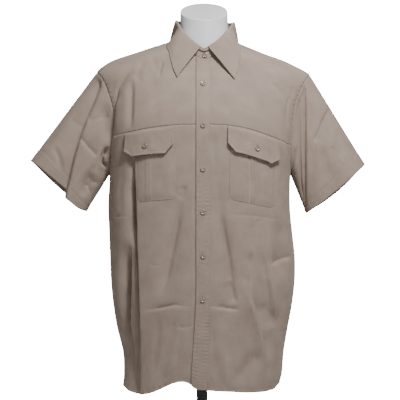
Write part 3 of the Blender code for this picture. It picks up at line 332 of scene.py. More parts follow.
# The dent round a flap's button: its depth, its reach across, and its reach down as a share of the flap. Then how
# far the lower edge curls out, and from what share down.
FLAP_DENT = (0.5, 12, 0.22)
FLAP_CURL = 0.64
FLAP_CURL_FROM = 0.75
PLEAT_RISE = 0.7
PLEAT_HALF = 7.5
POCKET_EASE = 0.4
# How high the edges of a pocket lie.
POCKET_RIM = 0.18
POCKET_SHELL = 0.16
POCKET_MITRE = 7.0
POCKET_MOUTH = 10.0
POCKET_LENGTH = 160
POCKET_EDGE_EASE = 18
# How softly a pleat falls off on the wearer's left and right.
PLEAT_EASE = (5.0, 1.0)
# The greatest unevenness of pockets and flaps, and over what length it dies out at their edges.
UNEVEN = 0.5
UNEVEN_EASE = 14

# Collar band and leaf.
STAND_FRONT = 26.0
STAND_BACK = 35.0
STAND_SIDE = 8.0
STAND_LEAN = 5.0
STAND_RAISE = 0.6
# The roll at the band's front, as its depth and the shares of the height where it starts and ends with their
# eases, and the groove under it, as its depth, share and reach.
STAND_ROLL = (3.2, 0.66, 0.06, 1.06, 0.12)
STAND_GROOVE = (0.8, 0.6, 0.07)
STAND_LAP_EASE = 0.06
# How far from the front's middle the roll reaches, as an angle, and over what angle it ends.
STAND_ROLL_REACH = 0.5
STAND_ROLL_EASE = 0.3
ROLL_REACH = 4.6
ROLL_DROP = 1.0
LEAF_BOW = 2.4
SIDE_BOW = 0.4
SIDE_BOW_FROM = 0.62
SIDE_BOW_EASE = 0.18
LEAF_LIFT = 1.5
POINT_LIFT = {"right": 1.6, "left": 2.0}
LEAF_MIDDLE = 6.0
# How far the leaf starts off the band, and the shares of its way round and down where its points begin to lift,
# its roll ends and its flat part begins.
LEAF_CLEAR = 0.2
POINT_FROM = 0.8
LEAF_ROLL_TO = 0.16
LEAF_FLAT_FROM = 0.1
# The leaf's outer edge: the share of the way from the back's middle to the point, then x and height in the front
# view, or degrees and path at the back.
LEAF_FRONT = {
    "right": ((1.0, 61.5, 706.0), (0.93, 71.0, 729.0), (0.86, 76.0, 748.0), (0.78, 81.0, 768.0)),
    "left": ((1.0, 66.0, 701.0), (0.93, 73.0, 726.0), (0.86, 77.0, 748.0), (0.78, 79.5, 768.0)),
}
LEAF_BACK = ((0.7, 81, 904), (0.55, 108, 895), (0.3, 142, 888))
LEAF_BACK_MIDDLE = 886.0
LEAF_FRONT_TURN = 173.0

# The form, its neck and its cap. The foot is this share of the lowest ring's width.
FORM_BOTTOM = 75.0
FORM_FOOT = 0.965
NECK_COLUMNS = ("height", "half_width", "half_depth", "tilt")
NECK_RINGS = ((820, 55.5, 49.5, 0.10), (838, 54, 49, 0.27), (858, 53.5, 48.5, 0.50))
CAP_RINGS = ((858.3, 53.5, 48.5, 0.50), (860.1, 53.3, 48.3, 0.50), (861.4, 51.8, 46.9, 0.50),
             (861.9, 47, 42.5, 0.50), (862.2, 30, 27, 0.50), (862.3, 10, 9, 0.50))
NECK_MIDDLE = (4.5, 5.0)
FORM_STEPS = 128
FORM_ROW_STEP = 12
FORM_FOOT_HEIGHT = 8

# How far a sleeve's edge is tucked under the body's, as a share of its length, and how deep it lies there.
TUCK = 0.02
TUCK_DEPTH = 0.9

# Sewing: one stitch, and how far the lines lie from their edges.
STITCH_PITCH = 3.2
STITCH_LENGTH = 2.5
STITCH_WIDTH = 0.7
STITCH_RISE = 0.4
STITCH_ROOT = 0.3
STITCH_END = 0.15
EDGE_STITCH = 2.0
TOP_STITCH = 6.0
ARM_STITCH = 8.0
BODY_HEM = 9.0

# Grooves that a line of sewing or an edge leaves in the cloth: depth and reach.
GROOVES = {
    "seam": (0.6, 1.7), "chest_seam": (0.072, 1.7), "sleeve_hem": (0.5, 1.8), "leaf": (0.35, 1.4),
    "placket": (0.3, 1.3), "pocket": (0.12, 1.2), "pleat": (0.3, 2.0), "flap": (0.3, 1.3),
}
# Small gathers along lines of sewing: period, depth, reach and seed.
GATHERS = {
    "front_armhole": (10, 0.7, 11, 5), "chest_seam": (13, 0.25, 7, 21), "front_hem": (12, 0.5, 8, 31),
    "back_armhole": (11, 0.6, 11, 41), "back_seam": (14, 0.3, 8, 43), "back_hem": (12, 0.5, 8, 45),
    "sleeve_head": (10, 1.5, 17, 51), "sleeve_hem": (13, 0.4, 7, 53), "pocket": (11, 0.35, 7, 71),
    "placket_right": (8.0, 0.55, 9, 61), "placket_left": (9.5, 0.4, 7, 63), "placket": (12.0, 0.22, 1, 65),
}
# The step that a turned hem's second layer makes, and over what length it rises.
HEM_STEP = 0.5
HEM_STEP_EASE = 1.5
# Over what length the gathers beside an armhole begin and end.
ARM_EASE = 10

# Where the right front's columns crowd together for its long fold, as a share of the way round, how much, and
# over what share.
FOLD_SHARE = 0.62
FOLD_FINE = 2.0
FOLD_CROWD = 0.07

# Spacing of the cloth grids.
FRONT_STEP = 2.2
BACK_STEP = 3.2
SLEEVE_STEP = 2.2
SMALL_STEP = 1.6
# Rows beside the armhole on the fronts and the back, rows above it on the fronts, and the yoke's columns over the
# shoulder.
LOWER_ARM_ROWS = 34
UPPER_ARM_ROWS = 66
BACK_ARM_ROWS = 80
NECK_ROWS = 70
SHOULDER_COLUMNS = 26
# Where a search for a place on the front starts, which is about the body's half depth, how many steps it takes,
# the small moves that give a surface's slopes, and the longest moves of one step.
SEARCH_DEPTH = 118.0
SEARCH_STEPS = 14
EDGE_SEARCH_STEPS = 10
TURN_MOVE, PATH_MOVE = 1e-4, 0.1
MOST_TURN, MOST_PATH = 0.15, 40
# A wide ring, the back's half width, and how much longer the cloth round a half is than the half's width.
WIDE_PATH = 300.0
BACK_HALF_WIDTH = 212
ROUND_SHARE = 1.12
# Lengths of cloth that turn a share of a piece, one of the yoke's columns or a turn into millimetres.
BACK_ROUND = 240
SHOULDER_PITCH = 3.0
YOKE_FALL = 170
SLEEVE_RADIUS = 62
SLEEVE_ROUND = 440
LEAF_FALL = 52
LEAF_HALF = 205
# Columns and rows of the grids that have no spacing of their own, and how much finer the placket's rows are than
# the fronts'.
STAND_GRID = (240, 36)
LEAF_GRID = (280, 44)
YOKE_MIDDLE, YOKE_ROWS = 56, 60
PLACKET_COLUMNS = 22
PLACKET_FINE = 1.3


def smooth_curve(xs, ys, at):
    """A smooth curve through the points (xs, ys), with straight ends."""
    xs = np.asarray(xs, float)
    ys = np.asarray(ys, float)
    steps = np.diff(xs)
    slopes = np.diff(ys) / steps
    bends = np.empty_like(xs)
    bends[0] = slopes[0]
    bends[-1] = slopes[-1]
    bends[1:-1] = (slopes[:-1] * steps[1:] + slopes[1:] * steps[:-1]) / (steps[:-1] + steps[1:])
    at = np.asarray(at, float)
    inside = np.clip(at, xs[0], xs[-1])
    i = np.clip(np.searchsorted(xs, inside, side="right") - 1, 0, len(xs) - 2)
    t = (inside - xs[i]) / steps[i]
    value = ((2 * t**3 - 3 * t**2 + 1) * ys[i] + (t**3 - 2 * t**2 + t) * steps[i] * bends[i]
             + (-2 * t**3 + 3 * t**2) * ys[i + 1] + (t**3 - t**2) * steps[i] * bends[i + 1])
    return value + (at - inside) * np.where(at < xs[0], bends[0], bends[-1])


def step_up(t):
    """0 to 1 with soft ends."""
    t = np.clip(t, 0, 1)
    return t * t * (3 - 2 * t)


RING_TABLE = {name: np.array([row[i] for row in RINGS], float) for i, name in enumerate(RING_COLUMNS)}


def ring_value(name, path):
    return smooth_curve(RING_TABLE["path"], RING_TABLE[name], path)


def plain_surface(angle, path):
    """The shirt's outer surface with no folds. angle is 0 at the front and 90 degrees at the wearer's left."""
    angle, path = np.broadcast_arrays(np.asarray(angle, float), np.asarray(path, float))
    side, ahead = np.sin(angle), np.cos(angle)
    half_width = np.where(side > 0, ring_value("left", path), ring_value("right", path))
    half_depth = np.where(ahead > 0, ring_value("front", path), ring_value("back", path))
    square = ring_value("square", path)
    reach = (np.abs(side / half_width) ** square + np.abs(ahead / half_depth) ** square) ** (-1 / square)
    x = ring_value("mid_x", path) + reach * side
    y = ring_value("mid_y", path) - reach * ahead
    end_z = np.where(ahead > 0, ring_value("z_front", path), ring_value("z_back", path))
    side_z = np.where(side > 0, ring_value("z_left", path), ring_value("z_right", path))
    to_side = np.where(ahead > 0, np.abs(side) ** ring_value("vee", path), side**2)
    z = end_z + (side_z - end_z) * to_side
    hem_x, hem_z = zip(*HEM_LINE)
    hem_side = np.where(side > 0, ring_value("z_left", 0.0), ring_value("z_right", 0.0))
    level = smooth_curve(hem_x, hem_z, x) - (ring_value("z_front", 0.0) * ahead**2 + hem_side * side**2)
    z = z + np.where(ahead > 0, level * step_up(ahead / 0.3), 0) * step_up(1 - path / HEM_FADE)
    return np.stack([x, y, z], -1)


def fold_depth(x, z, folds, power=2.0, ease_share=0.3):
    """How far the folds push a point in, from its place in the front view. power 2 is soft, 1 is pressed."""
    total = np.zeros(np.shape(x))
    for fold in folds:
        facts = dict(zip(FOLD_COLUMNS, fold))
        points = np.array(facts["path"], float)
        lengths = np.hypot(*np.diff(points, axis=0).T)
        starts = np.concatenate([[0], np.cumsum(lengths)])
        nearest = np.full(np.shape(x), 1e9)
        signed = np.zeros(np.shape(x))
        along = np.zeros(np.shape(x))
        for (ax, az), (bx, bz), start, length in zip(points[:-1], points[1:], starts, lengths):
            dx, dz = (bx - ax) / length, (bz - az) / length
            t = np.clip((x - ax) * dx + (z - az) * dz, 0, length)
            away_x, away_z = x - ax - t * dx, z - az - t * dz
            far = np.hypot(away_x, away_z)
            closer = far < nearest
            nearest = np.where(closer, far, nearest)
            signed = np.where(closer, away_z * dx - away_x * dz, signed)
            along = np.where(closer, start + t, along)
        width = np.where(signed < 0, facts["right_width"], facts["left_width"])
        ease = ease_share * starts[-1]
        fade = step_up(along / ease) * step_up((starts[-1] - along) / ease)
        total = total + facts["depth"] * fade * np.exp(-((nearest / width) ** power))
    return total


def wander(x, z, seed, spans=(34, 47, 62, 88, 120)):
    """Soft unevenness between -1 and 1, from plane waves of the given lengths."""
    rng = np.random.default_rng(seed)
    total = np.zeros(np.shape(x))
    for span in spans:
        for _ in range(3):
            turn, phase = rng.uniform(0, 2 * math.pi, 2)
            total = total + np.sin((x * math.cos(turn) + z * math.sin(turn)) * 2 * math.pi / span + phase)
    return total / (len(spans) * 2.2)


def body_creases(x, z, ahead):
    """Depth of all creases of the body at a place in the front view."""
    front = (fold_depth(x, z, FRONT_FOLDS) + fold_depth(x, z, FRONT_CREASES)
             + fold_depth(x, z, FRONT_PRESSED, 1.0) + 0.25 * wander(x, z, 3))
    back = (fold_depth(x, z, BACK_FOLDS) + fold_depth(x, z, BACK_CREASES)
            + fold_depth(x, z, BACK_PRESSED, 1.0) + 0.35 * wander(x, z, 8))
    return front * step_up(ahead / 0.25) + back * step_up(-ahead / 0.25)


def folded_surface(angle, path):
    """The shirt's outer surface with its folds and creases."""
    plain = plain_surface(angle, path)
    outward = normals_of(plain_surface, angle, path)
    ahead = np.cos(angle) + 0 * plain[..., 0]
    return plain - outward * body_creases(plain[..., 0], plain[..., 2], ahead)[..., None]


def normals_of(surface, angle, path):
    """Outward unit normals of a surface of angle and path."""
    turn, rise = 0.004, 0.6
    across = surface(angle + turn, path) - surface(angle - turn, path)
    up = surface(angle, path + rise) - surface(angle, path - rise)
    found = np.cross(across, up)
    return found / np.linalg.norm(found, axis=-1, keepdims=True)


def cloth(angle, path, lift=0.0):
    """Points of the shirt moved out by lift, and their outward normals."""
    angle, path = np.broadcast_arrays(np.asarray(angle, float), np.asarray(path, float))
    outward = normals_of(folded_surface, angle, path)
    return folded_surface(angle, path) + outward * np.asarray(lift + 0 * angle)[..., None], outward


def place_on_front(x, z):
    """The angle and path of the front's point that a front view shows at x, z."""
    x, z = np.broadcast_arrays(np.asarray(x, float), np.asarray(z, float))
    angle = np.arctan2(x, SEARCH_DEPTH)
    path = np.array(z)
    for _ in range(SEARCH_STEPS):
        here = plain_surface(angle, path)
        ax, _, az = np.moveaxis(plain_surface(angle + TURN_MOVE, path) - here, -1, 0) / TURN_MOVE
        px, _, pz = np.moveaxis(plain_surface(angle, path + PATH_MOVE) - here, -1, 0) / PATH_MOVE
        off_x, off_z = x - here[..., 0], z - here[..., 2]
        scale = ax * pz - az * px
        turn = np.clip((off_x * pz - off_z * px) / scale, -MOST_TURN, MOST_TURN)
        rise = np.clip((ax * off_z - az * off_x) / scale, -MOST_PATH, MOST_PATH)
        angle = np.clip(angle + turn, -1.55, 1.55)
        path = np.clip(path + rise, -5, NECKLINE)
    return angle, path


def front_angle(x, path):
    """The angle at which the front has this x, along a ring."""
    path = np.asarray(path, float)
    angle = np.arctan2(x + 0 * path, SEARCH_DEPTH)
    for _ in range(EDGE_SEARCH_STEPS):
        here = plain_surface(angle, path)[..., 0]
        slope = (plain_surface(angle + TURN_MOVE, path)[..., 0] - here) / TURN_MOVE
        angle = angle + (x - here) / slope
    return angle


def drift(z):
    """The front edge leans to the wearer's right towards the hem."""
    return PLACKET_DRIFT * step_up((PLACKET_DRIFT_FROM - np.asarray(z, float)) / PLACKET_DRIFT_FROM)


# Materials


def colour(hex_code):
    """An sRGB hex colour as linear red, green, blue and alpha."""
    parts = [int(hex_code[i:i + 2], 16) / 255 for i in (0, 2, 4)]
    return (*(p / 12.92 if p <= 0.04045 else ((p + 0.055) / 1.055) ** 2.4 for p in parts), 1.0)


def add(tree, kind, settings=None, links=None):
    """Adds a node. settings are its properties or its inputs' values, links its inputs' source sockets."""
    made = tree.nodes.new(kind)
    for name, value in (settings or {}).items():
        if isinstance(name, str) and hasattr(made, name):
            setattr(made, name, value)
        else:
            made.inputs[name].default_value = value
    for name, socket in (links or {}).items():
        tree.links.new(socket, made.inputs[name])
    return made


def new_material(name, values):
    """A material whose shader has these values, its node tree and that shader."""
    made = bpy.data.materials.new(name)
    made.use_nodes = True
    shader = made.node_tree.nodes["Principled BSDF"]
    for key, value in values.items():
        shader.inputs[key].default_value = value
    return made, made.node_tree, shader


def noise(tree, grain, space, settings=None):
    """Noise whose grains are this many millimetres wide."""
    values = {"Scale": 1 / (grain * M), **(settings or {})}
    return add(tree, "ShaderNodeTexNoise", values, {"Vector": space}).outputs["Fac"]


def tint(tree, shader, source, stops):
    """Colours a shader by a ramp over the source socket, from (position, hex colour) stops."""
    made = add(tree, "ShaderNodeValToRGB", links={"Fac": source})
    table = made.color_ramp.elements
    while len(table) < len(stops):
        table.new(0.5)
    for element, (position, shade) in zip(table, stops):
        element.position = position
        element.color = colour(shade)
    tree.links.new(made.outputs["Color"], shader.inputs["Base Color"])


def bump(tree, height, strength, distance, links=None):
    """The normal of a relief this many millimetres high."""
    settings = {"Strength": strength, "Distance": distance * M}
    return add(tree, "ShaderNodeBump", settings, {"Height": height, **(links or {})}).outputs["Normal"]


def grained(name, values, grain, stops, settings=None):
    """A material coloured by noise of this grain, with its node tree, its shader and the noise."""
    made, tree, shader = new_material(name, values)
    grains = noise(tree, grain, add(tree, "ShaderNodeTexCoord").outputs["Object"], settings)
    tint(tree, shader, grains, stops)
    return made, tree, shader, grains


# Twill: real ribs lie 0.7 mm apart, drawn at 1.5 mm so that they show as a faint diagonal grain.
TWILL_RIB = 1.5
# Slubs, the uneven yarns that streak woven cloth along its length.
SLUB_WIDTH = 3.0
SLUB_LENGTH = 60.0
# Patches of uneven dye, and the small unevenness of worn cloth.
DYE_PATCH = 45
CRUMPLE = 14


def cotton_twill():
    """Woven and piece-dyed polyester-cotton twill: matt, with a faint diagonal rib, slubs and a soft bloom."""
    made, tree, shader = new_material("polyester_cotton_twill", {
        "Roughness": 0.82, "IOR": 1.45, "Specular IOR Level": 0.22, "Sheen Weight": 0.18, "Sheen Roughness": 0.45,
        "Sheen Tint": colour("D8CFC6")})
    place = add(tree, "ShaderNodeUVMap", {"uv_map": "cut"}).outputs["UV"]
    slub_place = add(tree, "ShaderNodeMapping", {"Scale": (1 / (SLUB_WIDTH * M), 1 / (SLUB_LENGTH * M), 1)},
                     {"Vector": place}).outputs["Vector"]
    slub = noise(tree, 1, slub_place, {"Scale": 1.0, "Detail": 3.0, "Roughness": 0.6})
    patch = noise(tree, DYE_PATCH, place, {"Detail": 4.0, "Roughness": 0.55})
    blend = add(tree, "ShaderNodeMix", {"data_type": "FLOAT", "Factor": 0.22}, {2: patch, 3: slub})
    tint(tree, shader, blend.outputs[0], ((0.3, "86776C"), (0.5, "8E7F74"), (0.7, "95877B")))
    weave = add(tree, "ShaderNodeTexWave",
                {"wave_type": "BANDS", "bands_direction": "DIAGONAL", "Scale": 0.3 / (TWILL_RIB * M),
                 "Distortion": 1.2, "Detail": 2.0, "Detail Scale": 2.0}, {"Vector": place})
    low = bump(tree, noise(tree, CRUMPLE, place, {"Detail": 3.0, "Roughness": 0.5}), strength=0.07, distance=1.6)
    ribs = bump(tree, weave.outputs["Fac"], strength=0.16, distance=0.2, links={"Normal": low})
    tree.links.new(ribs, shader.inputs["Normal"])
    return made


def thread_with_painted_seam_shade():
    """Spun polyester thread, dyed to match and shinier than the twill it sinks into; its colour is a little darker
    than the twill's, partly its own dye and partly painted shade along the lines of sewing.
    """
    values = {"Roughness": 0.6, "IOR": 1.5, "Specular IOR Level": 0.35, "Sheen Weight": 0.1}
    # The darker stops are partly painted shade: they make each line of sewing read as a dark line.
    return grained("spun_polyester_thread_with_painted_shade", values, 1.2, ((0.35, "786A5E"), (0.65, "8C7D71")), {"Detail": 2.0})[0]


def button_polyester():
    """Moulded and tumbled polyester button: clouded grey and beige, smooth, with a clear glossy skin."""
    values = {"Roughness": 0.22, "IOR": 1.56, "Specular IOR Level": 0.6, "Coat Weight": 0.6, "Coat Roughness": 0.1,
              "Subsurface Weight": 0.08, "Subsurface Radius": (0.002, 0.0015, 0.001)}
    stops = ((0.3, "63574C"), (0.5, "7F7367"), (0.7, "A99D90"))
    return grained("moulded_polyester_button", values, 4, stops, {"Detail": 4.0, "Distortion": 1.5})[0]


def painted_hole_shade():
    """Painted shade: the dark inside of a buttonhole's slit and of a button's holes, grained like thread fluff."""
    values = {"Roughness": 0.95, "IOR": 1.45, "Specular IOR Level": 0.1}
    return grained("painted_shade_in_holes", values, 0.8, ((0.3, "2E2722"), (0.7, "463C34")))[0]


def form_shell():
    """Moulded polyethylene form, satin white: smooth, with a faint orange-peel and softly blurred lights."""
    values = {"Roughness": 0.36, "IOR": 1.5, "Specular IOR Level": 0.5, "Coat Weight": 0.15, "Coat Roughness": 0.3}
    made, tree, shader, _ = grained("satin_white_polyethylene", values, 90, ((0.3, "CCCCCE"), (0.7, "D4D4D6")),
                                    {"Detail": 2.0})
    peel = noise(tree, 2.5, add(tree, "ShaderNodeTexCoord").outputs["Object"], {"Detail": 2.0})
    tree.links.new(bump(tree, peel, strength=0.08, distance=0.2), shader.inputs["Normal"])
    return made


def powder_coat():
    """Powder-coated steel, black: a fine pebbled skin that spreads each highlight."""
    values = {"Roughness": 0.42, "IOR": 1.5, "Specular IOR Level": 0.5}
    made, tree, shader, pebble = grained("black_powder_coated_steel", values, 1.6,
                                         ((0.35, "18181A"), (0.65, "222224")), {"Detail": 3.0})
    tree.links.new(bump(tree, pebble, strength=0.25, distance=0.15), shader.inputs["Normal"])
    return made


def studio_floor():
    """A rolled-out sheet of matt white paper, whose tone varies over a third of a metre."""
    values = {"Roughness": 0.9, "IOR": 1.45, "Specular IOR Level": 0.2}
    return grained("matt_white_paper", values, 1000 / 3, ((0.3, "CFCFCE"), (0.7, "D3D3D2")), {"Detail": 2.0})[0]


TWILL = cotton_twill()
THREAD = thread_with_painted_seam_shade()
BUTTON = button_polyester()
# HOLE is painted shade, used for the button's holes and the buttonholes' slits.
HOLE = painted_hole_shade()
FORM = form_shell()
STEEL = powder_coat()

# The outer points and normals of each cloth piece, by its name, for the sewing that lies on it.
GRIDS = {}


# Meshes


def to_world(points):
    return (np.asarray(points, float) + np.array([0, 0, HEM_Z])) * M


def new_object(name, points, faces, finish):
    """An object of world points in metres that rides on the root body."""
    mesh = bpy.data.meshes.new(name)
    mesh.from_pydata([tuple(p) for p in points], [], [tuple(f) for f in faces])
    mesh.materials.append(finish)
    mesh.shade_smooth()
    made = bpy.data.objects.new(name, mesh)
    bpy.context.scene.collection.objects.link(made)
    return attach(made, "root")


def grid_faces(rows, columns, closed=False):
    """The quads of a grid, whose last column joins the first if it is closed."""
    a = np.arange(rows - 1)[:, None] * columns
    b = np.arange(columns if closed else columns - 1)[None, :]
    right = (b + 1) % columns
    return np.stack([a + b, a + right, a + columns + right, a + columns + b], -1).reshape(-1, 4)


def cut_places(points, closed):
    """Each grid point's place on the flat cut, in metres: the way across and the way along the cloth."""
    loop = np.concatenate([points, points[:, :1]], 1) if closed else points
    across = np.linalg.norm(np.diff(loop, axis=1), axis=-1).mean(0)
    along = np.linalg.norm(np.diff(loop, axis=0), axis=-1).mean(1)
    u = np.concatenate([[0], np.cumsum(across)])
    v = np.concatenate([[0], np.cumsum(along)])
    return np.stack(np.meshgrid(u, v), -1) * M


def shell(name, outer, outward, thick=SHELL, closed=False):
    """A thin cloth shell whose outer side is a grid of points in millimetres."""
    rows, columns = outer.shape[:2]
    GRIDS[name] = outer, np.broadcast_to(outward, outer.shape)
    faces = grid_faces(rows, columns, closed)
    places = cut_places(outer, closed)
    wide = columns + 1 if closed else columns
    corner_faces = grid_faces(rows, wide)
    a, b, c = (outer.reshape(-1, 3)[faces[:, i]] for i in (0, 1, 2))
    if (np.cross(b - a, c - a) * outward.reshape(-1, 3)[faces[:, 0]]).sum() < 0:
        faces = faces[:, ::-1]
        corner_faces = corner_faces[:, ::-1]
    made = new_object(name, to_world(outer.reshape(-1, 3)), faces, TWILL)
    layer = made.data.uv_layers.new(name="cut")
    layer.uv.foreach_set("vector", places.reshape(-1, 2)[corner_faces.ravel()].astype(np.float32).ravel())
    thicken = made.modifiers.new("wall", "SOLIDIFY")
    thicken.thickness = thick * M
    thicken.offset = -1.0
    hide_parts(name)
    return made


def panel(name, angle, path, lift=0.0, thick=SHELL):
    outer, outward = cloth(angle, path, lift)
    return shell(name, outer, outward, thick)


def resampled(points, outward, pitch):
    """Even places along a run, with the direction and the outward normal at each."""
    lengths = np.linalg.norm(np.diff(points, axis=0), axis=-1)
    total = np.concatenate([[0], np.cumsum(lengths)])
    at = np.arange(pitch / 2, total[-1], pitch)
    place = np.stack([np.interp(at, total, points[:, i]) for i in range(3)], -1)
    normal = np.stack([np.interp(at, total, outward[:, i]) for i in range(3)], -1)
    ahead = np.stack([np.interp(at + 0.5, total, points[:, i]) for i in range(3)], -1) - place
    back = place - np.stack([np.interp(at - 0.5, total, points[:, i]) for i in range(3)], -1)
    ahead = ahead + back
    return place, ahead / np.linalg.norm(ahead, axis=-1, keepdims=True), normal


def sewing(name, runs):
    """Rows of stitches along runs of points and outward normals: each a short thread, pointed at both ends."""
    points, faces = [], []
    for run_points, run_outward in runs:
        for place, ahead, normal in zip(*resampled(run_points, run_outward, STITCH_PITCH)):
            across = np.cross(ahead, normal) * STITCH_WIDTH / 2
            low, half = place - normal * STITCH_END, ahead * STITCH_LENGTH / 2
            first = len(points)
            points += [low - half, low + half, place - across, place + normal * STITCH_RISE, place + across,
                       place - normal * STITCH_ROOT]
            ring = [first + 2, first + 3, first + 4, first + 5]
            for near, far in zip(ring, ring[1:] + ring[:1]):
                faces += [(first, near, far), (first + 1, far, near)]
    return new_object(name, to_world(points), faces, THREAD)


def seam_line(name, side, distance, part=slice(None)):
    """A line on a piece's outer side, this far in from one side of its grid."""
    outer, outward = GRIDS[name]
    if side.endswith("row"):
        outer, outward = outer.swapaxes(0, 1), outward.swapaxes(0, 1)
    if side.startswith("last"):
        outer, outward = outer[:, ::-1], outward[:, ::-1]
    outer, outward = outer[part], outward[part]
    far = np.cumsum(np.linalg.norm(np.diff(outer, axis=1), axis=-1), 1)
    after = np.minimum((far < distance).sum(1), outer.shape[1] - 2)
    rows = np.arange(len(outer))
    before = np.where(after > 0, far[rows, after - 1], 0.0)
    share = ((distance - before) / (far[rows, after] - before))[:, None]
    points = outer[rows, after] * (1 - share) + outer[rows, after + 1] * share
    return points, outward[rows, after]


# The armhole and the seams, in angle and path


def armhole(turn, side):
    """A point of the armhole: turn is 0 at the shoulder tip, 90 degrees at the front and 180 at the underarm."""
    reach = np.where(np.sin(turn) > 0, ARMHOLE_FRONT, ARMHOLE_BACK)
    round_it = np.abs(np.sin(turn)) ** ARMHOLE_SQUARE * np.sign(np.sin(turn)) * np.radians(reach)
    path = UNDERARM + (SHOULDER_TIP - UNDERARM) * (1 + np.cos(turn)) / 2
    return side * (math.pi / 2 - round_it), path


def armhole_angle(path, front, side):
    """The armhole's angle at a ring, on its front or back branch."""
    share = np.clip((np.asarray(path, float) - UNDERARM) / (SHOULDER_TIP - UNDERARM), 0, 1)
    turn = np.arccos(np.clip(2 * share - 1, -1, 1))
    return armhole(turn if front else -turn, side)[0]


def shoulder_seam(path):
    at, degrees = zip(*SHOULDER_SEAM)
    return np.radians(smooth_curve(at, degrees, path))


def armhole_turn(path):
    """The turn at which the armhole's front branch passes a path."""
    return math.acos(2 * (path - UNDERARM) / (SHOULDER_TIP - UNDERARM) - 1)


def corner_turn():
    """The turn at which the shoulder seam meets the armhole."""
    low, high = 0.0, 1.0
    for _ in range(40):
        middle = (low + high) / 2
        angle, path = armhole(middle, 1)
        if angle > shoulder_seam(path):
            low = middle
        else:
            high = middle
    return middle


CHEST_TURN = armhole_turn(CHEST_SEAM)
BACK_TURN = armhole_turn(BACK_SEAM)
CORNER_TURN = corner_turn()
YOKE_NECK_TURN = math.radians(104)


def armhole_path(turn):
    return armhole(turn, 1)[1]


def front_outer_angle(path, side):
    """Where a front panel ends: the side seam, then the armhole, then the shoulder seam."""
    path = np.asarray(path, float)
    edge = np.where(path < UNDERARM, math.pi / 2, np.abs(armhole_angle(path, True, side)))
    edge = np.where(path >= armhole_path(CORNER_TURN) - 1e-6, shoulder_seam(path), edge)
    return side * edge


def even_rows(low, high, step):
    return np.linspace(low, high, max(2, round((high - low) / step) + 1))


def lower_front_rows():
    """A lower front's rows, from the hem to the chest seam."""
    beside = armhole_path(np.linspace(math.pi, CHEST_TURN, LOWER_ARM_ROWS))
    return np.concatenate([even_rows(0, UNDERARM, FRONT_STEP)[:-1], beside[:-1], [CHEST_SEAM - HALF_SEAM]])


def upper_front_rows():
    """An upper front's rows, from the chest seam to the neckline."""
    beside = armhole_path(np.linspace(CHEST_TURN, CORNER_TURN, UPPER_ARM_ROWS))
    above = beside[-1] + (NECKLINE - HALF_SEAM - beside[-1]) * np.linspace(0, 1, NECK_ROWS)[1:]
    return np.concatenate([[CHEST_SEAM + HALF_SEAM], beside[1:], above])


def seam_inset(angle, path, across):
    """Moves an edge in by half a seam's gap, given in millimetres round the body."""
    size = np.linalg.norm(plain_surface(angle + 1e-3, path) - plain_surface(angle - 1e-3, path), axis=-1) / 2e-3
    return angle + across / size


def placket_edges(path):
    """The x of the placket's two edges at each path."""
    height = plain_surface(0.0 * path, path)[..., 2]
    return PLACKET_EDGES[0] + drift(height), PLACKET_EDGES[1] + FAR_EDGE_DRIFT * drift(height)


def front_grid(side, paths, columns):
    """Angles and paths of a front panel's grid, from its edge under or at the placket to its outer seam."""
    edge, far_edge = placket_edges(paths)
    start = front_angle(edge if side > 0 else far_edge, paths)
    end = seam_inset(front_outer_angle(paths, side), paths, -side * HALF_SEAM)
    whole = side * math.pi / 2 - start
    shares = np.linspace(0, 1, columns)
    if side < 0:
        crowd = 1 + FOLD_FINE * np.exp(-(((shares - FOLD_SHARE) / FOLD_CROWD) ** 2))
        filled = np.concatenate([[0], np.cumsum(crowd)]) / crowd.sum()
        shares = np.interp(shares, filled, np.linspace(0, 1, columns + 1))
    angle = start[:, None] + whole[:, None] * shares + (end - side * math.pi / 2)[:, None] * shares**3
    return angle, np.broadcast_to(paths[:, None], angle.shape)


def groove(kind, distance):
    """Depth of the groove of this kind, by the distance from its line."""
    depth, reach = GROOVES[kind]
    return depth * np.exp(-((distance / reach) ** 2))


def hem_step(inside):
    """How far a hem's second layer pushes the cloth out, by the distance past its sewing."""
    return HEM_STEP * step_up(inside / HEM_STEP_EASE)


def puckers(kind, along, away, other=0):
    """Small gathers across a line of sewing, uneven in depth, which fade away from it. other gives another set."""
    period, depth, reach, seed = GATHERS[kind]
    rng = np.random.default_rng(seed + other)
    phase = 1.6 * np.sin(along / (period * 3.7) + rng.uniform(0, 6)) + 0.9 * np.sin(along / (period * 1.9) + 2)
    strength = 0.55 + 0.45 * np.sin(along / (period * 5.3) + rng.uniform(0, 6))
    return depth * strength * np.sin(along * 2 * math.pi / period + phase) * np.exp(-((away / reach) ** 2))


def front_lift(side, part, angle, path):
    """How far a front's outer side stands off the folded surface: under the placket, and at its seams."""
    x = plain_surface(angle, path)[..., 0]
    lift = np.zeros(angle.shape)
    if side < 0:
        edge = placket_edges(path[:, 0])[0]
        lift -= UNDERLAP_DIP * step_up((x - edge[:, None] + UNDERLAP_START) / UNDERLAP_EASE)
    ends = plain_surface(angle[:, -2:], path[:, -2:])
    width = np.linalg.norm(ends[:, 1] - ends[:, 0], axis=-1)
    away = np.arange(angle.shape[1])[::-1][None, :] * width[:, None]
    lift -= groove("seam", away)
    beside_armhole = step_up((path - UNDERARM) / ARM_EASE) * step_up((armhole_path(CORNER_TURN) - path) / ARM_EASE)
    lift += puckers("front_armhole", path, away, side) * beside_armhole
    lift -= groove("chest_seam", path - CHEST_SEAM)
    lift += puckers("chest_seam", x, np.abs(path - CHEST_SEAM))
    if part == "lower":
        lift += puckers("front_hem", x, path - BODY_HEM, side) + hem_step(BODY_HEM - path)
    return lift


def front_columns(side, path):
    """How many columns keep the front's spacing on its widest ring."""
    reach = plain_surface(side * math.pi / 2, path)[..., 0]
    return int(ROUND_SHARE * abs(float(reach)) / FRONT_STEP)


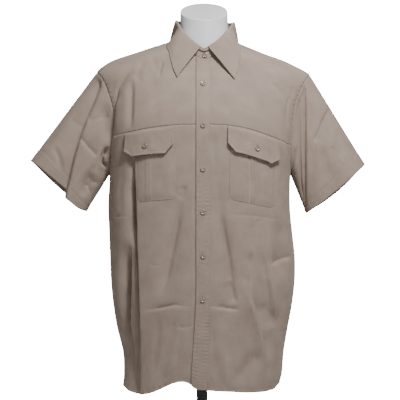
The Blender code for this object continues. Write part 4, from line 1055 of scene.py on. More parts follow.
def make_fronts():
    for part, rows in (("lower", lower_front_rows()), ("upper", upper_front_rows())):
        for side, label in ((-1, "right"), (1, "left")):
            angle, path = front_grid(side, rows, front_columns(side, WIDE_PATH))
            panel(f"{part}_front_{label}", angle, path, front_lift(side, part, angle, path))


def back_rows():
    beside = armhole_path(np.linspace(-BACK_TURN, -math.pi, BACK_ARM_ROWS)[::-1])[1:]
    return np.concatenate([even_rows(0, UNDERARM, BACK_STEP), beside[:-1], [BACK_SEAM - HALF_SEAM]])


def make_back():
    rows = back_rows()
    shares = np.linspace(-1, 1, int(2 * BACK_HALF_WIDTH * ROUND_SHARE / BACK_STEP))
    ends = []
    for side in (1, -1):
        edge = np.where(rows < UNDERARM, side * math.pi / 2, armhole_angle(rows, False, side))
        ends.append(seam_inset(edge, rows, side * HALF_SEAM))
    cut_back = np.where(shares[None, :] < 0, (ends[0] - math.pi / 2)[:, None], (-math.pi / 2 - ends[1])[:, None])
    angle = math.pi + shares[None, :] * (math.pi / 2 - cut_back * shares[None, :] ** 4)
    path = np.broadcast_to(rows[:, None], angle.shape)
    x = plain_surface(angle, path)[..., 0]
    away = (1 - np.abs(shares))[None, :] * BACK_ROUND
    lift = -groove("seam", away) - groove("seam", path - BACK_SEAM)
    lift = lift + puckers("back_armhole", path, away) * step_up((path - UNDERARM) / ARM_EASE)
    lift += puckers("back_seam", x, path - BACK_SEAM) + puckers("back_hem", x, path - BODY_HEM)
    panel("back", angle, path, lift + hem_step(BODY_HEM - path))


def make_yoke():
    """One piece from the right shoulder seam over the back to the left one."""
    over_angle, over_path = armhole(np.linspace(CORNER_TURN, -BACK_TURN, SHOULDER_COLUMNS), 1)
    middle = np.linspace(0, 1, YOKE_MIDDLE)[1:]
    low_angle = np.concatenate([over_angle, over_angle[-1] + (math.pi - over_angle[-1]) * middle])
    low_path = np.concatenate([over_path, np.full(len(middle), BACK_SEAM)])
    over_neck = np.linspace(float(shoulder_seam(NECKLINE)), YOKE_NECK_TURN, SHOULDER_COLUMNS)
    neck_angle = np.concatenate([over_neck, YOKE_NECK_TURN + (math.pi - YOKE_NECK_TURN) * middle])
    rise = np.linspace(0, 1, YOKE_ROWS)[:, None]
    angle = low_angle + (neck_angle - low_angle) * rise
    path = low_path + (NECKLINE - HALF_SEAM - low_path) * rise
    angle[:, 0] = seam_inset(shoulder_seam(path[:, 0]), path[:, 0], HALF_SEAM)
    path[0] += HALF_SEAM
    angle = np.concatenate([angle, 2 * math.pi - angle[:, -2::-1]], 1)
    path = np.concatenate([path, path[:, -2::-1]], 1)
    x = plain_surface(angle, path)[..., 0]
    count = np.arange(angle.shape[1])
    from_shoulder = np.minimum(count, count[::-1]) * SHOULDER_PITCH + 0 * rise
    from_bottom = rise * YOKE_FALL + 0 * x
    lift = -groove("seam", from_shoulder) - groove("seam", from_bottom) + puckers("back_seam", x, from_bottom)
    panel("yoke", angle, path, lift)


# Sleeves


def sleeve_mouth(turn, side, facts):
    """The sleeve's hem line, round from its outer corner over the front."""
    ahead = np.sin(turn)
    outer, inner = np.array(facts["outer"], float), np.array(facts["inner"], float)
    across = (outer + inner) / 2 + np.cos(turn)[..., None] * (outer - inner) / 2
    axis = np.array([(outer - inner)[1] * side, -(outer - inner)[0] * side]) / np.linalg.norm(outer - inner)
    front_drop = np.interp(np.degrees(turn), *zip(*facts["front_drop"]))
    drop = np.where(ahead > 0, front_drop, facts["back_drop"] * ahead**2)
    depth = facts["mid_y"] - facts["half_depth"] * np.sign(ahead) * np.abs(ahead) ** SLEEVE_SQUARE
    return np.stack([across[..., 0] + axis[0] * drop, depth, across[..., 1] + axis[1] * drop], -1)


def sleeve_depth(x, z, turn, share, label):
    """How far the folds and puckers move a point of the sleeve back in the front view."""
    ahead = np.sin(turn)
    away = share * SLEEVE_LENGTH
    front = fold_depth(x, z, SLEEVE_FOLDS[label]) + fold_depth(x, z, SLEEVE_CREASES[label], 1.0, 0.12)
    front = front * step_up(ahead / SIDE_EASE) * step_up(share / 0.06)
    behind = fold_depth(x, z, SLEEVE_BACK_FOLDS[label]) * step_up(-ahead / SIDE_EASE) * step_up(share / 0.12)
    around = turn * SLEEVE_RADIUS
    small = puckers("sleeve_head", around, away) + puckers("sleeve_hem", around, SLEEVE_LENGTH - SLEEVE_HEM - away)
    small = small + 0.3 * wander(x, z + BEHIND_SHIFT * (ahead < 0), 12) * step_up(share / 0.2)
    return front - behind - small * ahead * step_up(share / 0.02)


def sleeve_point(turn, share, label):
    """A point of a sleeve: turn goes round it from the top over the front, and share runs from the armhole
    to the hem."""
    side = 1 if label == "left" else -1
    turn, share = np.broadcast_arrays(np.asarray(turn, float), np.asarray(share, float))
    seam = armhole(turn, side)
    under = step_up((np.abs((turn + math.pi) % (2 * math.pi) - math.pi) - UNDER_FROM) / UNDER_EASE)
    start = folded_surface(*seam) + normals_of(folded_surface, *seam) * (UNDER_GAP * under)[..., None]
    end = sleeve_mouth(turn, side, dict(zip(SLEEVE_COLUMNS, SLEEVES[label])))
    between = start + (end - start) * share[..., None]
    between[..., 1] += sleeve_depth(between[..., 0], between[..., 2], turn, share, label)
    return between


def sleeve_normal(turn, share, label):
    """Outward normals of a sleeve."""
    small = 0.01
    round_it = sleeve_point(turn + small, share, label) - sleeve_point(turn - small, share, label)
    along = sleeve_point(turn, share + small, label) - sleeve_point(turn, np.clip(share - small, 0, 1), label)
    found = np.cross(round_it, along) * (1 if label == "left" else -1)
    return found / np.linalg.norm(found, axis=-1, keepdims=True)


def make_sleeve(label):
    turns = np.linspace(0, 2 * math.pi, int(SLEEVE_ROUND / SLEEVE_STEP), endpoint=False)
    shares = np.concatenate([[-TUCK, -TUCK / 3], np.linspace(0, 1, int(SLEEVE_LENGTH / SLEEVE_STEP))])
    turn, share = np.meshgrid(turns, shares)
    outward = sleeve_normal(turn, share, label)
    past_hem = share * SLEEVE_LENGTH - (SLEEVE_LENGTH - SLEEVE_HEM)
    lift = hem_step(past_hem) - TUCK_DEPTH * step_up(1 - share / 0.012) - groove("sleeve_hem", past_hem)
    outer = sleeve_point(turn, share, label) + outward * lift[..., None]
    shell(f"sleeve_{label}", outer, outward, closed=True)


# Collar


def roll_line(turn):
    """The collar's top edge: turn is 0 at the back, 180 degrees at the front on either side."""
    ahead = -np.cos(turn)
    base = plain_surface(math.pi - turn, NECKLINE + 0 * turn)
    height = STAND_BACK + (STAND_FRONT - STAND_BACK) * step_up(ahead) + STAND_SIDE * np.sin(turn) ** 4
    centre = np.array([ring_value("mid_x", NECKLINE), ring_value("mid_y", NECKLINE)])
    outwards = base[..., :2] - centre
    outwards /= np.linalg.norm(outwards, axis=-1, keepdims=True)
    top = base.copy()
    top[..., :2] -= outwards * STAND_LEAN
    top[..., 2] += height
    return base, top, np.concatenate([outwards, np.zeros_like(outwards[..., :1])], -1)


def stand_ends():
    """Turns of the collar band's right and left ends, at the fronts' edges."""
    path = np.array([NECKLINE - HALF_SEAM])
    edge, far_edge = placket_edges(path)
    return -math.pi - front_angle(far_edge, path)[0], math.pi - front_angle(edge, path)[0]


def make_stand():
    """The collar band. Its left end laps over the right one at the front, under the collar button."""
    right_end, left_end = stand_ends()
    turn = np.linspace(right_end, left_end, STAND_GRID[0])
    base, top, outwards = roll_line(turn)
    under_from = left_end - 2 * math.pi
    inward = (COLLAR_WALL + GAP) * step_up((under_from + STAND_LAP_EASE - turn) / STAND_LAP_EASE)
    rise = np.linspace(0, 1, STAND_GRID[1])[:, None, None]
    base = base + np.array([0, 0, 1]) * STAND_RAISE
    outer = base[None] + (top - base)[None] * rise - (outwards * inward[:, None])[None]
    at_front = step_up((STAND_ROLL_REACH - np.abs(np.abs(turn) - math.pi)) / STAND_ROLL_EASE)[None, :, None]
    tall, low, low_ease, high, high_ease = STAND_ROLL
    depth, under, reach = STAND_GROOVE
    roll = tall * step_up((rise - low) / low_ease) * step_up((high - rise) / high_ease)
    roll = roll - depth * np.exp(-(((rise - under) / reach) ** 2))
    outer = outer + outwards[None] * roll * at_front
    shell("collar_stand", outer, np.broadcast_to(outwards[None], outer.shape), COLLAR_WALL)


def leaf_edge(share):
    """The collar leaf's outer edge, as angle and path on the shirt. share is -1 at the right point."""
    stops, angles, paths = [], [], []
    for side, label in ((-1, "right"), (1, "left")):
        rows = [(away, *place_on_front(LEAF_MIDDLE + side * x, z)) for away, x, z in LEAF_FRONT[label]]
        rows += [(away, side * math.radians(degrees), path) for away, degrees, path in LEAF_BACK]
        rows = sorted(rows, reverse=side < 0)
        for away, angle, path in rows:
            stops.append(side * away)
            angles.append(float(angle) + (2 * math.pi if side < 0 else 0))
            paths.append(float(path))
        if side < 0:
            stops.append(0.0)
            angles.append(math.pi)
            paths.append(LEAF_BACK_MIDDLE)
    return smooth_curve(stops, np.array(angles), share), smooth_curve(stops, paths, share)


def leaf_point(share, fall):
    """A point of the collar leaf: share runs from the right point round the back to the left one, and fall
    from the roll line to the outer edge."""
    share, fall = np.broadcast_arrays(np.asarray(share, float), np.asarray(fall, float))
    turn = math.radians(LEAF_FRONT_TURN) * share
    base, top, outwards = roll_line(turn)
    up = np.array([0, 0, 1])
    start = top + outwards * LEAF_CLEAR + up * (COLLAR_WALL + GAP)
    shoulder = start + outwards * ROLL_REACH - up * ROLL_DROP
    angle, path = leaf_edge(share)
    point_lift = np.where(share > 0, POINT_LIFT["left"], POINT_LIFT["right"])
    lift = LEAF_LIFT + point_lift * step_up((np.abs(share) - POINT_FROM) / (1 - POINT_FROM))
    outward = normals_of(plain_surface, angle, path)
    end = plain_surface(angle, path) + outward * lift[..., None]
    bow = LEAF_BOW * np.sin(math.pi * np.clip(fall, 0, 1))
    bow = bow * (SIDE_BOW + (1 - SIDE_BOW) * step_up((np.abs(share) - SIDE_BOW_FROM) / SIDE_BOW_EASE))
    first = step_up(fall / LEAF_ROLL_TO)[..., None]
    rest = np.clip((fall - LEAF_FLAT_FROM) / (1 - LEAF_FLAT_FROM), 0, 1)[..., None]
    rolled = start + (shoulder - start) * first
    return rolled + (end - shoulder) * rest + (outward + outwards) * 0.5 * bow[..., None]


def leaf_normal(share, fall):
    small = 0.01
    across = leaf_point(np.clip(share + small, -1, 1), fall) - leaf_point(np.clip(share - small, -1, 1), fall)
    down = leaf_point(share, np.clip(fall + small, 0, 1)) - leaf_point(share, np.clip(fall - small, 0, 1))
    outward = np.cross(across, down)
    outward /= np.linalg.norm(outward, axis=-1, keepdims=True)
    return outward * (1 if outward[-1, outward.shape[1] // 2, 1] > 0 else -1)


def make_leaf():
    share, fall = np.meshgrid(np.linspace(-1, 1, LEAF_GRID[0]), np.linspace(0, 1, LEAF_GRID[1]))
    outward = leaf_normal(share, fall)
    outer = leaf_point(share, fall)
    from_edge = np.minimum((1 - fall) * LEAF_FALL, (1 - np.abs(share)) * LEAF_HALF)
    soft = 0.25 * wander(share * LEAF_HALF, fall * LEAF_FALL, 17, (26, 34, 48)) * step_up(from_edge / 10)
    dip = groove("leaf", from_edge - TOP_STITCH) + soft
    shell("collar_leaf", outer - outward * dip[..., None], outward, LEAF_WALL)


# Placket, pockets and buttons


def placket_strength(path):
    """How strongly the placket is gathered at a path."""
    more, below, ease = PLACKET_BELOW
    total = PLACKET_GATHER + more * step_up((below - path) / ease)
    for more, low, high, ease in PLACKET_BETWEEN:
        total = total + more * step_up((high - path) / ease) * step_up((path - low) / ease)
    return total


def make_placket():
    """The band along the left front's edge, down to the hem, gathered a little by its two lines of sewing."""
    rows = np.concatenate([lower_front_rows()[:-1], upper_front_rows()])
    rows[0] += 2
    rows[-1] -= 2
    rows = np.interp(np.linspace(0, len(rows) - 1, int(len(rows) * PLACKET_FINE)), np.arange(len(rows)), rows)
    edge, far_edge = placket_edges(rows)
    shares = np.linspace(0, 1, PLACKET_COLUMNS)
    x = edge[:, None] + (far_edge - edge)[:, None] * shares
    angle = np.stack([front_angle(x[:, i], rows) for i in range(len(shares))], 1)
    path = np.broadcast_to(rows[:, None], angle.shape)
    left_line = x - edge[:, None] - TOP_STITCH
    right_line = far_edge[:, None] - x - EDGE_STITCH
    gathers = (puckers("placket_right", path, right_line) + puckers("placket_left", path, left_line)
               + puckers("placket", path + 0.3 * x, 0 * x))
    uneven = np.clip(0.85 + 0.9 * wander(1.6 * x, path, 67, (17, 26, 41)), 0.15, 2.0)
    lift = GAP + CLOTH + placket_strength(path) * uneven * gathers
    lift = lift - groove("placket", left_line) - groove("placket", right_line)
    panel("placket", angle, path, np.maximum(lift, GAP + CLOTH - 0.4))


def chest_seam_height(x):
    """The height of the chest seam in the front view."""
    angle = front_angle(x, np.full(np.shape(x), CHEST_SEAM))
    return plain_surface(angle, CHEST_SEAM)[..., 2]


def pocket_bottom(label, x):
    facts = POCKETS[label]
    share = (x - facts["left_x"]) / (facts["right_x"] - facts["left_x"])
    return facts["bottom"] + facts["drop"] * (0.5 - share)


def pocket_outline(label, x):
    """The lowest and the highest point of a pocket at x, with its mitred corners."""
    facts = POCKETS[label]
    from_side = np.minimum(x - facts["left_x"], facts["right_x"] - x)
    mitre = np.clip(POCKET_MITRE - from_side, 0, POCKET_MITRE)
    return pocket_bottom(label, x) + mitre, chest_seam_height(x) - POCKET_MOUTH


def pleat_rise(x, rows, middle):
    """How far a pocket's box pleat stands out, and how deep the groove beside it is."""
    soft_side = np.where(x > middle, *PLEAT_EASE)
    raised = PLEAT_RISE * step_up((PLEAT_HALF + 0.6 - np.abs(x - middle)) / soft_side) * step_up(rows / 0.06)
    return raised, groove("pleat", middle - x - PLEAT_HALF - 2) * step_up(rows / 0.1)


def make_pocket(label):
    """A patch pocket with a box pleat down its middle."""
    facts = POCKETS[label]
    left_x, right_x, middle = facts["left_x"], facts["right_x"], facts["pleat_x"]
    columns = np.linspace(left_x, right_x, int((right_x - left_x) / SMALL_STEP))
    folds = middle + np.array([-1, 1])[:, None] * (PLEAT_HALF + np.array([-0.4, 0.4, 1.6])[None, :])
    columns = np.sort(np.concatenate([columns, folds.ravel()]))
    rows = np.linspace(0, 1, int(POCKET_LENGTH / SMALL_STEP))[:, None]
    x = np.broadcast_to(columns, (len(rows), len(columns)))
    low, high = pocket_outline(label, x)
    z = low + (high - low) * rows
    from_edge = np.minimum(np.minimum(x - left_x, right_x - x), z - low)
    raised, beside = pleat_rise(x, rows, middle)
    dip = np.minimum(beside + groove("pocket", from_edge - EDGE_STITCH), POCKET_EASE) * step_up(from_edge / 4)
    gather = 0.6 * np.abs(puckers("pocket", x + z, from_edge - EDGE_STITCH))
    soft = UNEVEN * np.abs(wander(x, z, 19, (40, 56))) * step_up(from_edge / UNEVEN_EASE)
    flat = POCKET_RIM + (GAP + CLOTH + POCKET_EASE - POCKET_RIM) * step_up(from_edge / POCKET_EDGE_EASE)
    panel(f"pocket_{label}", *place_on_front(x, z), flat + raised - dip + gather + soft, POCKET_SHELL)


def flap_lift(down):
    """How far a flap's outer side stands off the front: sewn on at the top, then clear of the pocket's pleat."""
    over_pocket = 2 * (GAP + CLOTH) + POCKET_EASE + PLEAT_RISE + 0.2 + FLAP_LIFT * down**2
    return GAP + CLOTH + (over_pocket - GAP - CLOTH) * step_up(down / 0.14)


def flap_depth(label, share):
    """A flap's depth below the chest seam, by the share of the way across it, with its clipped corners."""
    facts = FLAPS[label]
    clip = facts["corner"] / abs(facts["outer"] - facts["inner"])
    return np.interp(share, (0, clip, 1 - clip, 1), facts["depths"])


def make_flap(label):
    """A flap with two clipped corners, whose lower edge stands off the pocket."""
    facts = FLAPS[label]
    side = 1 if label == "left" else -1
    width = abs(facts["outer"] - facts["inner"])
    clip = facts["corner"] / width
    share = np.unique(np.concatenate([np.linspace(0, 1, int(width / SMALL_STEP)), [clip, 1 - clip]]))
    rows = np.linspace(0, 1, int(facts["middle"] / SMALL_STEP) + 4)[:, None]
    x = np.broadcast_to(facts["inner"] + side * width * share, (len(rows), len(share)))
    depth = flap_depth(label, share)
    z = chest_seam_height(x) - 0.5 - depth[None, :] * rows
    from_edge = np.minimum(np.minimum(share, 1 - share)[None, :] * width, (1 - rows) * depth)
    dent_depth, across, down = FLAP_DENT
    dent = dent_depth * np.exp(-(((x - facts["button_x"]) / across) ** 2 + ((rows - FLAP_BUTTON_SHARE) / down) ** 2))
    soft = UNEVEN * np.abs(wander(x, z, 23, (30, 44))) * step_up(rows / 0.3)
    curl = FLAP_CURL * step_up((rows - FLAP_CURL_FROM) / (1 - FLAP_CURL_FROM)) * step_up(1 - from_edge / UNEVEN_EASE)
    lift = flap_lift(rows) - groove("flap", from_edge - TOP_STITCH) * step_up(rows / 0.3) - dent + soft + curl
    panel(f"flap_{label}", *place_on_front(x, z), lift)


def disc_turn(place, outward):
    """The matrix that takes a button's own place, with its face up, to its place on the shirt."""
    turn = Vector(outward).to_track_quat("Z", "Y").to_matrix().to_4x4()
    return Matrix.Translation(Vector(to_world(place))) @ turn


# A button's section, from its middle over the rim to its back: radius and height as shares.
BUTTON_SECTION = ((0.0, 0.60), (0.30, 0.60), (0.52, 0.66), (0.62, 0.84), (0.70, 0.97), (0.80, 1.0), (0.92, 0.90),
                  (0.99, 0.68), (1.0, 0.45), (0.97, 0.2), (0.88, 0.02), (0.0, 0.0))
HOLE_PITCH = 1.15
HOLE_RADIUS = 0.55
HOLE_DEPTH = 0.3
HOLE_RISE = 0.06
BUTTON_STEPS = 40
HOLE_STEPS = 12
STRAND_STEPS = 6
STRAND_RADIUS = 0.17
STRAND_PITCH = 0.3
BAR_RISE = 0.42
BAR_ARCH = 0.5


def circle(steps):
    """Even places round a circle of radius 1."""
    turns = np.linspace(0, 2 * math.pi, steps, endpoint=False)
    return list(zip(np.cos(turns), np.sin(turns)))


def tube_faces(first, rings, steps):
    """The faces of a tube through rings of points, from its foot up, with both ends closed."""
    faces = [(low + i, low + (i + 1) % steps, low + steps + (i + 1) % steps, low + steps + i)
             for low in range(first, first + (rings - 1) * steps, steps) for i in range(steps)]
    faces.append(tuple(range(first + steps - 1, first - 1, -1)))
    faces.append(tuple(range(first + (rings - 1) * steps, first + rings * steps)))
    return faces


def on_button(name, matrix, points, faces, finish):
    """An object from points on a button's own place, in millimetres."""
    return new_object(name, [matrix @ (Vector(p) * M) for p in points], faces, finish)


def make_button(name, place, outward):
    """A four-hole button with a rolled rim, sewn on with two bars of thread."""
    face = BUTTON_SECTION[0][1] * BUTTON_THICK
    points = [(0, 0, face)]
    for radius, height in BUTTON_SECTION[1:-1]:
        reach = radius * BUTTON_RADIUS
        points += [(reach * x, reach * y, height * BUTTON_THICK) for x, y in circle(BUTTON_STEPS)]
    points.append((0, 0, 0))
    rings, last, faces = len(BUTTON_SECTION) - 2, len(points) - 1, []
    for i in range(BUTTON_STEPS):
        j = (i + 1) % BUTTON_STEPS
        lowest = 1 + (rings - 1) * BUTTON_STEPS
        faces += [(0, 1 + i, 1 + j), (last, lowest + j, lowest + i)]
        for inner in range(1, lowest, BUTTON_STEPS):
            outer = inner + BUTTON_STEPS
            faces.append((inner + i, outer + i, outer + j, inner + j))
    matrix = disc_turn(place, outward)
    made = on_button(name, matrix, points, faces, BUTTON)
    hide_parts(name)
    add_holes(f"{name}_holes", matrix, face)
    add_bars(f"{name}_thread", matrix, face)


def add_holes(name, matrix, face):
    """Four holes of painted shade, as shallow dark discs on the button's face."""
    points, faces = [], []
    for sx in (-HOLE_PITCH, HOLE_PITCH):
        for sy in (-HOLE_PITCH, HOLE_PITCH):
            faces += tube_faces(len(points), 2, HOLE_STEPS)
            for height in (face - HOLE_DEPTH, face + HOLE_RISE):
                points += [(sx + HOLE_RADIUS * x, sy + HOLE_RADIUS * y, height) for x, y in circle(HOLE_STEPS)]
    # Each disc is painted shade standing for the hole's shaded inside.
    on_button(name, matrix, points, faces, HOLE).data.shade_flat()


def add_bars(name, matrix, face):
    """Two bars of thread between the holes, each an arch of three strands."""
    points, faces = [], []
    stations = np.linspace(-1, 1, 7)
    for side in (-HOLE_PITCH, HOLE_PITCH):
        for strand in (-STRAND_PITCH, 0.0, STRAND_PITCH):
            faces += tube_faces(len(points), len(stations), STRAND_STEPS)
            for along in stations:
                height = face + BAR_RISE - BAR_ARCH * along**4
                points += [(side + strand + STRAND_RADIUS * x, along * HOLE_PITCH, height + STRAND_RADIUS * y)
                           for x, y in circle(STRAND_STEPS)]
    on_button(name, matrix, points, faces, THREAD)


BUTTONHOLE_LENGTH = 15.0
BUTTONHOLE_WIDTH = 3.2
# Half width and height of a buttonhole's bead and of its slit.
BEAD = (0.55, 0.35)
SLIT = (0.3, 0.12)


def make_buttonhole(name, x, z, lift, upright=True):
    """A worked buttonhole: two beads of close stitches with bars at the ends, and a slit of painted shade, drawn as
    a low dark bead.
    """
    half_long, half_wide = BUTTONHOLE_LENGTH / 2, BUTTONHOLE_WIDTH / 2
    runs = []
    for offset in (-half_wide * 0.6, half_wide * 0.6):
        along = np.linspace(-half_long, half_long, 20)
        runs.append((along, np.full(20, offset)))
    for end in (-half_long, half_long):
        runs.append((np.full(6, end), np.linspace(-half_wide, half_wide, 6)))
    strands = []
    for along, across in runs:
        px, pz = (x + across, z + along) if upright else (x + along, z + across)
        strands.append(cloth(*place_on_front(px, pz), lift))
    bead(name, strands, *BEAD)
    # The slit: a low dark bead of painted shade.
    slit_along = np.linspace(-half_long + 1, half_long - 1, 8)
    px, pz = (x + 0 * slit_along, z + slit_along) if upright else (x + slit_along, z + 0 * slit_along)
    bead(f"{name}_slit", [cloth(*place_on_front(px, pz), lift)], *SLIT, HOLE)


def bead(name, strands, half_wide, high, finish=THREAD):
    """Low rounded beads along strands of points and outward normals."""
    points, faces = [], []
    for place, outward in strands:
        ahead = np.gradient(place, axis=0)
        ahead /= np.linalg.norm(ahead, axis=-1, keepdims=True)
        across = np.cross(ahead, outward)
        first = len(points)
        for p, n, c in zip(place, outward, across):
            points += [p - c * half_wide - n * 0.1, p - c * half_wide * 0.6 + n * high * 0.8, p + n * high,
                       p + c * half_wide * 0.6 + n * high * 0.8, p + c * half_wide - n * 0.1]
        for k in range(len(place) - 1):
            a = first + 5 * k
            faces += [(a + i, a + i + 1, a + 6 + i, a + 5 + i) for i in range(4)]
            faces.append((a + 4, a, a + 5, a + 9))
        faces.append(tuple(range(first + 4, first - 1, -1)))
        faces.append(tuple(range(len(points) - 5, len(points))))
    new_object(name, to_world(points), faces, finish)


def make_buttons():
    for number, height in enumerate(BUTTON_HEIGHTS, 1):
        x = BUTTON_X + BUTTON_DRIFT * float(drift(height))
        place, outward = cloth(*place_on_front(x, height), 2 * GAP + CLOTH + FRONT_BUTTON_CLEAR)
        make_button(f"button_front_{number}", place, outward)
        make_buttonhole(f"buttonhole_{number}", x, height, GAP + CLOTH)
    for label, facts in FLAPS.items():
        seam = float(chest_seam_height(np.array(facts["button_x"])))
        lift = float(flap_lift(np.array(FLAP_BUTTON_SHARE))) + GAP + FLAP_BUTTON_CLEAR
        height = seam - FLAP_BUTTON_SHARE * facts["middle"]
        place, outward = cloth(*place_on_front(facts["button_x"], height), lift)
        make_button(f"button_flap_{label}", place, outward)
        make_buttonhole(f"buttonhole_flap_{label}", facts["button_x"], height, lift - 0.5)


def make_collar_button():
    turn = math.radians(COLLAR_BUTTON_TURN)
    base, top, outwards = roll_line(np.array([turn]))
    place = base[0] + (top - base)[0] * COLLAR_BUTTON_RISE + outwards[0] * (GAP + COLLAR_BUTTON_CLEAR)
    make_button("button_collar", place, outwards[0] + np.array([0, 0, COLLAR_BUTTON_TILT]))


# The form and its stand


def form_ring(path, columns):
    """One ring of the torso form, inside the shirt by its gap."""
    angle = np.linspace(0, 2 * math.pi, columns, endpoint=False)
    table = {name: [row[i] for row in FORM_GAPS] for i, name in enumerate(FORM_COLUMNS)}
    ahead = np.cos(angle)
    ends = np.where(ahead > 0, smooth_curve(table["path"], table["at_front"], path),
                    smooth_curve(table["path"], table["at_back"], path))
    gap = ends * ahead**2 + smooth_curve(table["path"], table["at_side"], path) * np.sin(angle) ** 2
    path = np.full(columns, float(path))
    return plain_surface(angle, path) - normals_of(plain_surface, angle, path) * gap[:, None]


def neck_ring(row, columns):
    """A ring of the neck or its cap, which slopes down to the front."""
    facts = dict(zip(NECK_COLUMNS, row))
    angle = np.linspace(0, 2 * math.pi, columns, endpoint=False)
    ahead = facts["half_depth"] * np.cos(angle)
    x = NECK_MIDDLE[0] + facts["half_width"] * np.sin(angle)
    return np.stack([x, NECK_MIDDLE[1] - ahead, facts["height"] - facts["tilt"] * ahead], -1)


def loft(name, rings, finish):
    """A closed smooth form through rings of equal count, capped at both ends."""
    rings = np.asarray(rings)
    faces = tube_faces(0, *rings.shape[:2])
    made = new_object(name, to_world(rings.reshape(-1, 3)), faces, finish)
    made.data.set_sharp_from_angle(angle=math.radians(40))
    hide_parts(name)


def between_rings(table, count):
    """More rows between those of a table, on smooth curves through them."""
    rows = np.array(table, float)
    at = np.linspace(0, len(rows) - 1, count)
    return np.stack([smooth_curve(np.arange(len(rows)), rows[:, i], at) for i in range(rows.shape[1])], -1)


def make_form():
    paths = even_rows(FORM_BOTTOM + FORM_FOOT_HEIGHT, NECKLINE, FORM_ROW_STEP)
    rings = [form_ring(path, FORM_STEPS) for path in paths]
    foot = rings[0].copy()
    foot[:, :2] *= FORM_FOOT
    foot[:, 2] = FORM_BOTTOM
    neck = [neck_ring(row, FORM_STEPS) for row in between_rings(NECK_RINGS, 9)]
    loft("torso_form", [foot, *rings, *neck], FORM)
    loft("neck_cap", [neck_ring(row, FORM_STEPS) for row in between_rings(CAP_RINGS, 26)], FORM)


def finish_stand():
    for name in ("base", "base_socket", "pole", "flange"):
        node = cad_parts[name]
        node.data.materials.clear()
        node.data.materials.append(STEEL)


# Flat sizes of what shows of each piece: width and length of its cut, and the share of that rectangle that it
# fills.
CUTS = {
    "back": (520, 710, 0.93), "yoke": (480, 190, 0.75),
    "lower_front_right": (290, 600, 0.96), "lower_front_left": (280, 600, 0.93),
    "upper_front_right": (240, 245, 0.82), "upper_front_left": (240, 245, 0.82),
    "sleeve_right": (450, 200, 0.93), "sleeve_left": (450, 200, 0.9),
    "placket": (31, 765, 1.0), "pocket_right": (88, 160, 0.97), "pocket_left": (101, 165, 0.97),
    "flap_right": (116, 64, 0.94), "flap_left": (117, 64, 0.94),
    "collar_stand": (430, 38, 0.92), "collar_leaf": (430, 75, 0.82),
}


def piece_sewing():
    """The lines of sewing on each piece: the side of its grid, how far in, and which part of that side."""
    beside_lower = slice(len(lower_front_rows()) - LOWER_ARM_ROWS + 1, None)
    beside_upper = slice(0, UPPER_ARM_ROWS - 2)
    right, left = slice(0, SHOULDER_COLUMNS), slice(-SHOULDER_COLUMNS, None)
    both_ends = [("first column", TOP_STITCH), ("last column", TOP_STITCH)]
    lines = {
        "placket": [("first column", TOP_STITCH), ("last column", EDGE_STITCH)],
        "back": [("first row", BODY_HEM), *both_ends],
        "yoke": [("first row", EDGE_STITCH, slice(SHOULDER_COLUMNS, -SHOULDER_COLUMNS)),
                 ("first row", ARM_STITCH, right), ("first row", ARM_STITCH, left),
                 ("first column", EDGE_STITCH), ("last column", EDGE_STITCH)],
        "collar_stand": [("first row", EDGE_STITCH)],
        "collar_leaf": [("last row", TOP_STITCH), *both_ends],
    }
    for label in ("right", "left"):
        lines[f"lower_front_{label}"] = [("first row", BODY_HEM), ("last column", ARM_STITCH, beside_lower)]
        lines[f"upper_front_{label}"] = [("first row", EDGE_STITCH), ("last column", ARM_STITCH, beside_upper)]
        lines[f"sleeve_{label}"] = [("last row", SLEEVE_HEM)]
        lines[f"pocket_{label}"] = [(side, EDGE_STITCH) for side in ("first column", "last column", "first row")]
        lines[f"flap_{label}"] = [*both_ends, ("last row", TOP_STITCH)]
    return lines


def finish_sheets():
    """Sews each piece."""
    lines = piece_sewing()
    for name, (width, length, share) in CUTS.items():
        thread = sewing(f"sewing_{name}", [seam_line(name, *line) for line in lines[name]])


make_fronts()
make_back()
make_yoke()
for label in ("right", "left"):
    make_sleeve(label)
    make_pocket(label)
    make_flap(label)
make_placket()
make_stand()
make_leaf()
finish_sheets()
make_buttons()
make_collar_button()
make_form()
finish_stand()


# Stage

FLOOR_SIZE = 2.2
FLOOR_DROP = 0.0005
CAMERA_AWAY = 4.0
CAMERA_TARGET = (-0.0045, 0.0, 0.5865)
LENS = 160
SENSOR = 36
# Soft lamps: name, place, target, size in metres and watts.
LAMPS = (
    ("key", (0.44, -1.06, 1.88), (0.0, 0.0, 0.7), 0.3, 40),
    ("left", (-1.3, -1.2, 1.4), (0.0, 0.0, 0.8), 0.6, 1.5),
    ("behind", (0.9, 1.7, 1.9), (0.0, 0.0, 0.7), 0.6, 16),
)


def make_stage():
    half = FLOOR_SIZE / 2
    corners = [(-half, -half), (half, -half), (half, half), (-half, half)]
    mesh = bpy.data.meshes.new("floor")
    mesh.from_pydata([(x, y, -FLOOR_DROP) for x, y in corners], [], [(0, 1, 2, 3)])
    mesh.materials.append(studio_floor())
    floor = bpy.data.objects.new("floor", mesh)
    bpy.context.scene.collection.objects.link(floor)


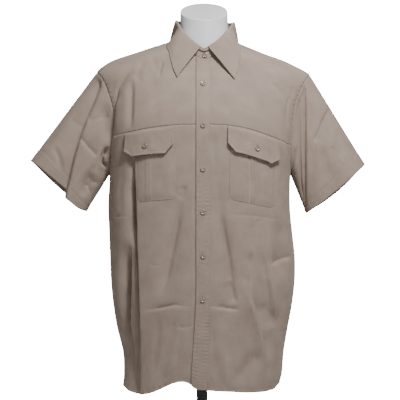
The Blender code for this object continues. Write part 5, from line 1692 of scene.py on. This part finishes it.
def add_light(name, place, target, size, watts):
    """A soft square lamp that faces its target."""
    data = bpy.data.lights.new(name, "AREA")
    data.size = size
    data.energy = watts
    lamp = bpy.data.objects.new(name, data)
    lamp.location = place
    lamp.rotation_euler = (Vector(target) - Vector(place)).to_track_quat("-Z", "Y").to_euler()
    bpy.context.scene.collection.objects.link(lamp)


# The soft fill: the direction that it is strongest from, and its least and greatest strength.
FILL_FROM = (0.3, -0.8, 0.5)
FILL_LEVELS = (0.2, 0.4)
# The bright paper that the camera sees behind the shirt.
PAPER_STRENGTH = 24.0


def make_lights():
    world = bpy.data.worlds.new("white studio")
    world.use_nodes = True
    tree = world.node_tree
    fill = tree.nodes["Background"]
    fill.inputs["Color"].default_value = (1, 1, 1, 1)
    direction = add(tree, "ShaderNodeTexCoord")
    towards = add(tree, "ShaderNodeVectorMath", {"operation": "DOT_PRODUCT", 1: FILL_FROM},
                  {0: direction.outputs["Generated"]})
    level = add(tree, "ShaderNodeMapRange", {"From Min": -1.0, "From Max": 1.0, "To Min": FILL_LEVELS[0],
                                             "To Max": FILL_LEVELS[1]}, {"Value": towards.outputs["Value"]})
    tree.links.new(level.outputs["Result"], fill.inputs["Strength"])
    paper = add(tree, "ShaderNodeBackground", {"Color": (1, 1, 1, 1), "Strength": PAPER_STRENGTH})
    ray = add(tree, "ShaderNodeLightPath")
    both = add(tree, "ShaderNodeMixShader", links={
        0: ray.outputs["Is Camera Ray"], 1: fill.outputs["Background"], 2: paper.outputs["Background"]})
    tree.links.new(both.outputs["Shader"], tree.nodes["World Output"].inputs["Surface"])
    bpy.context.scene.world = world
    for lamp in LAMPS:
        add_light(*lamp)


def make_camera():
    data = bpy.data.cameras.new("camera")
    data.lens = LENS
    data.sensor_width = SENSOR
    camera = bpy.data.objects.new("camera", data)
    target = Vector(CAMERA_TARGET)
    camera.location = target + Vector((0, -CAMERA_AWAY, 0))
    camera.rotation_euler = (math.radians(90), 0, 0)
    bpy.context.scene.collection.objects.link(camera)
    bpy.context.scene.camera = camera


make_stage()
make_lights()
make_camera()
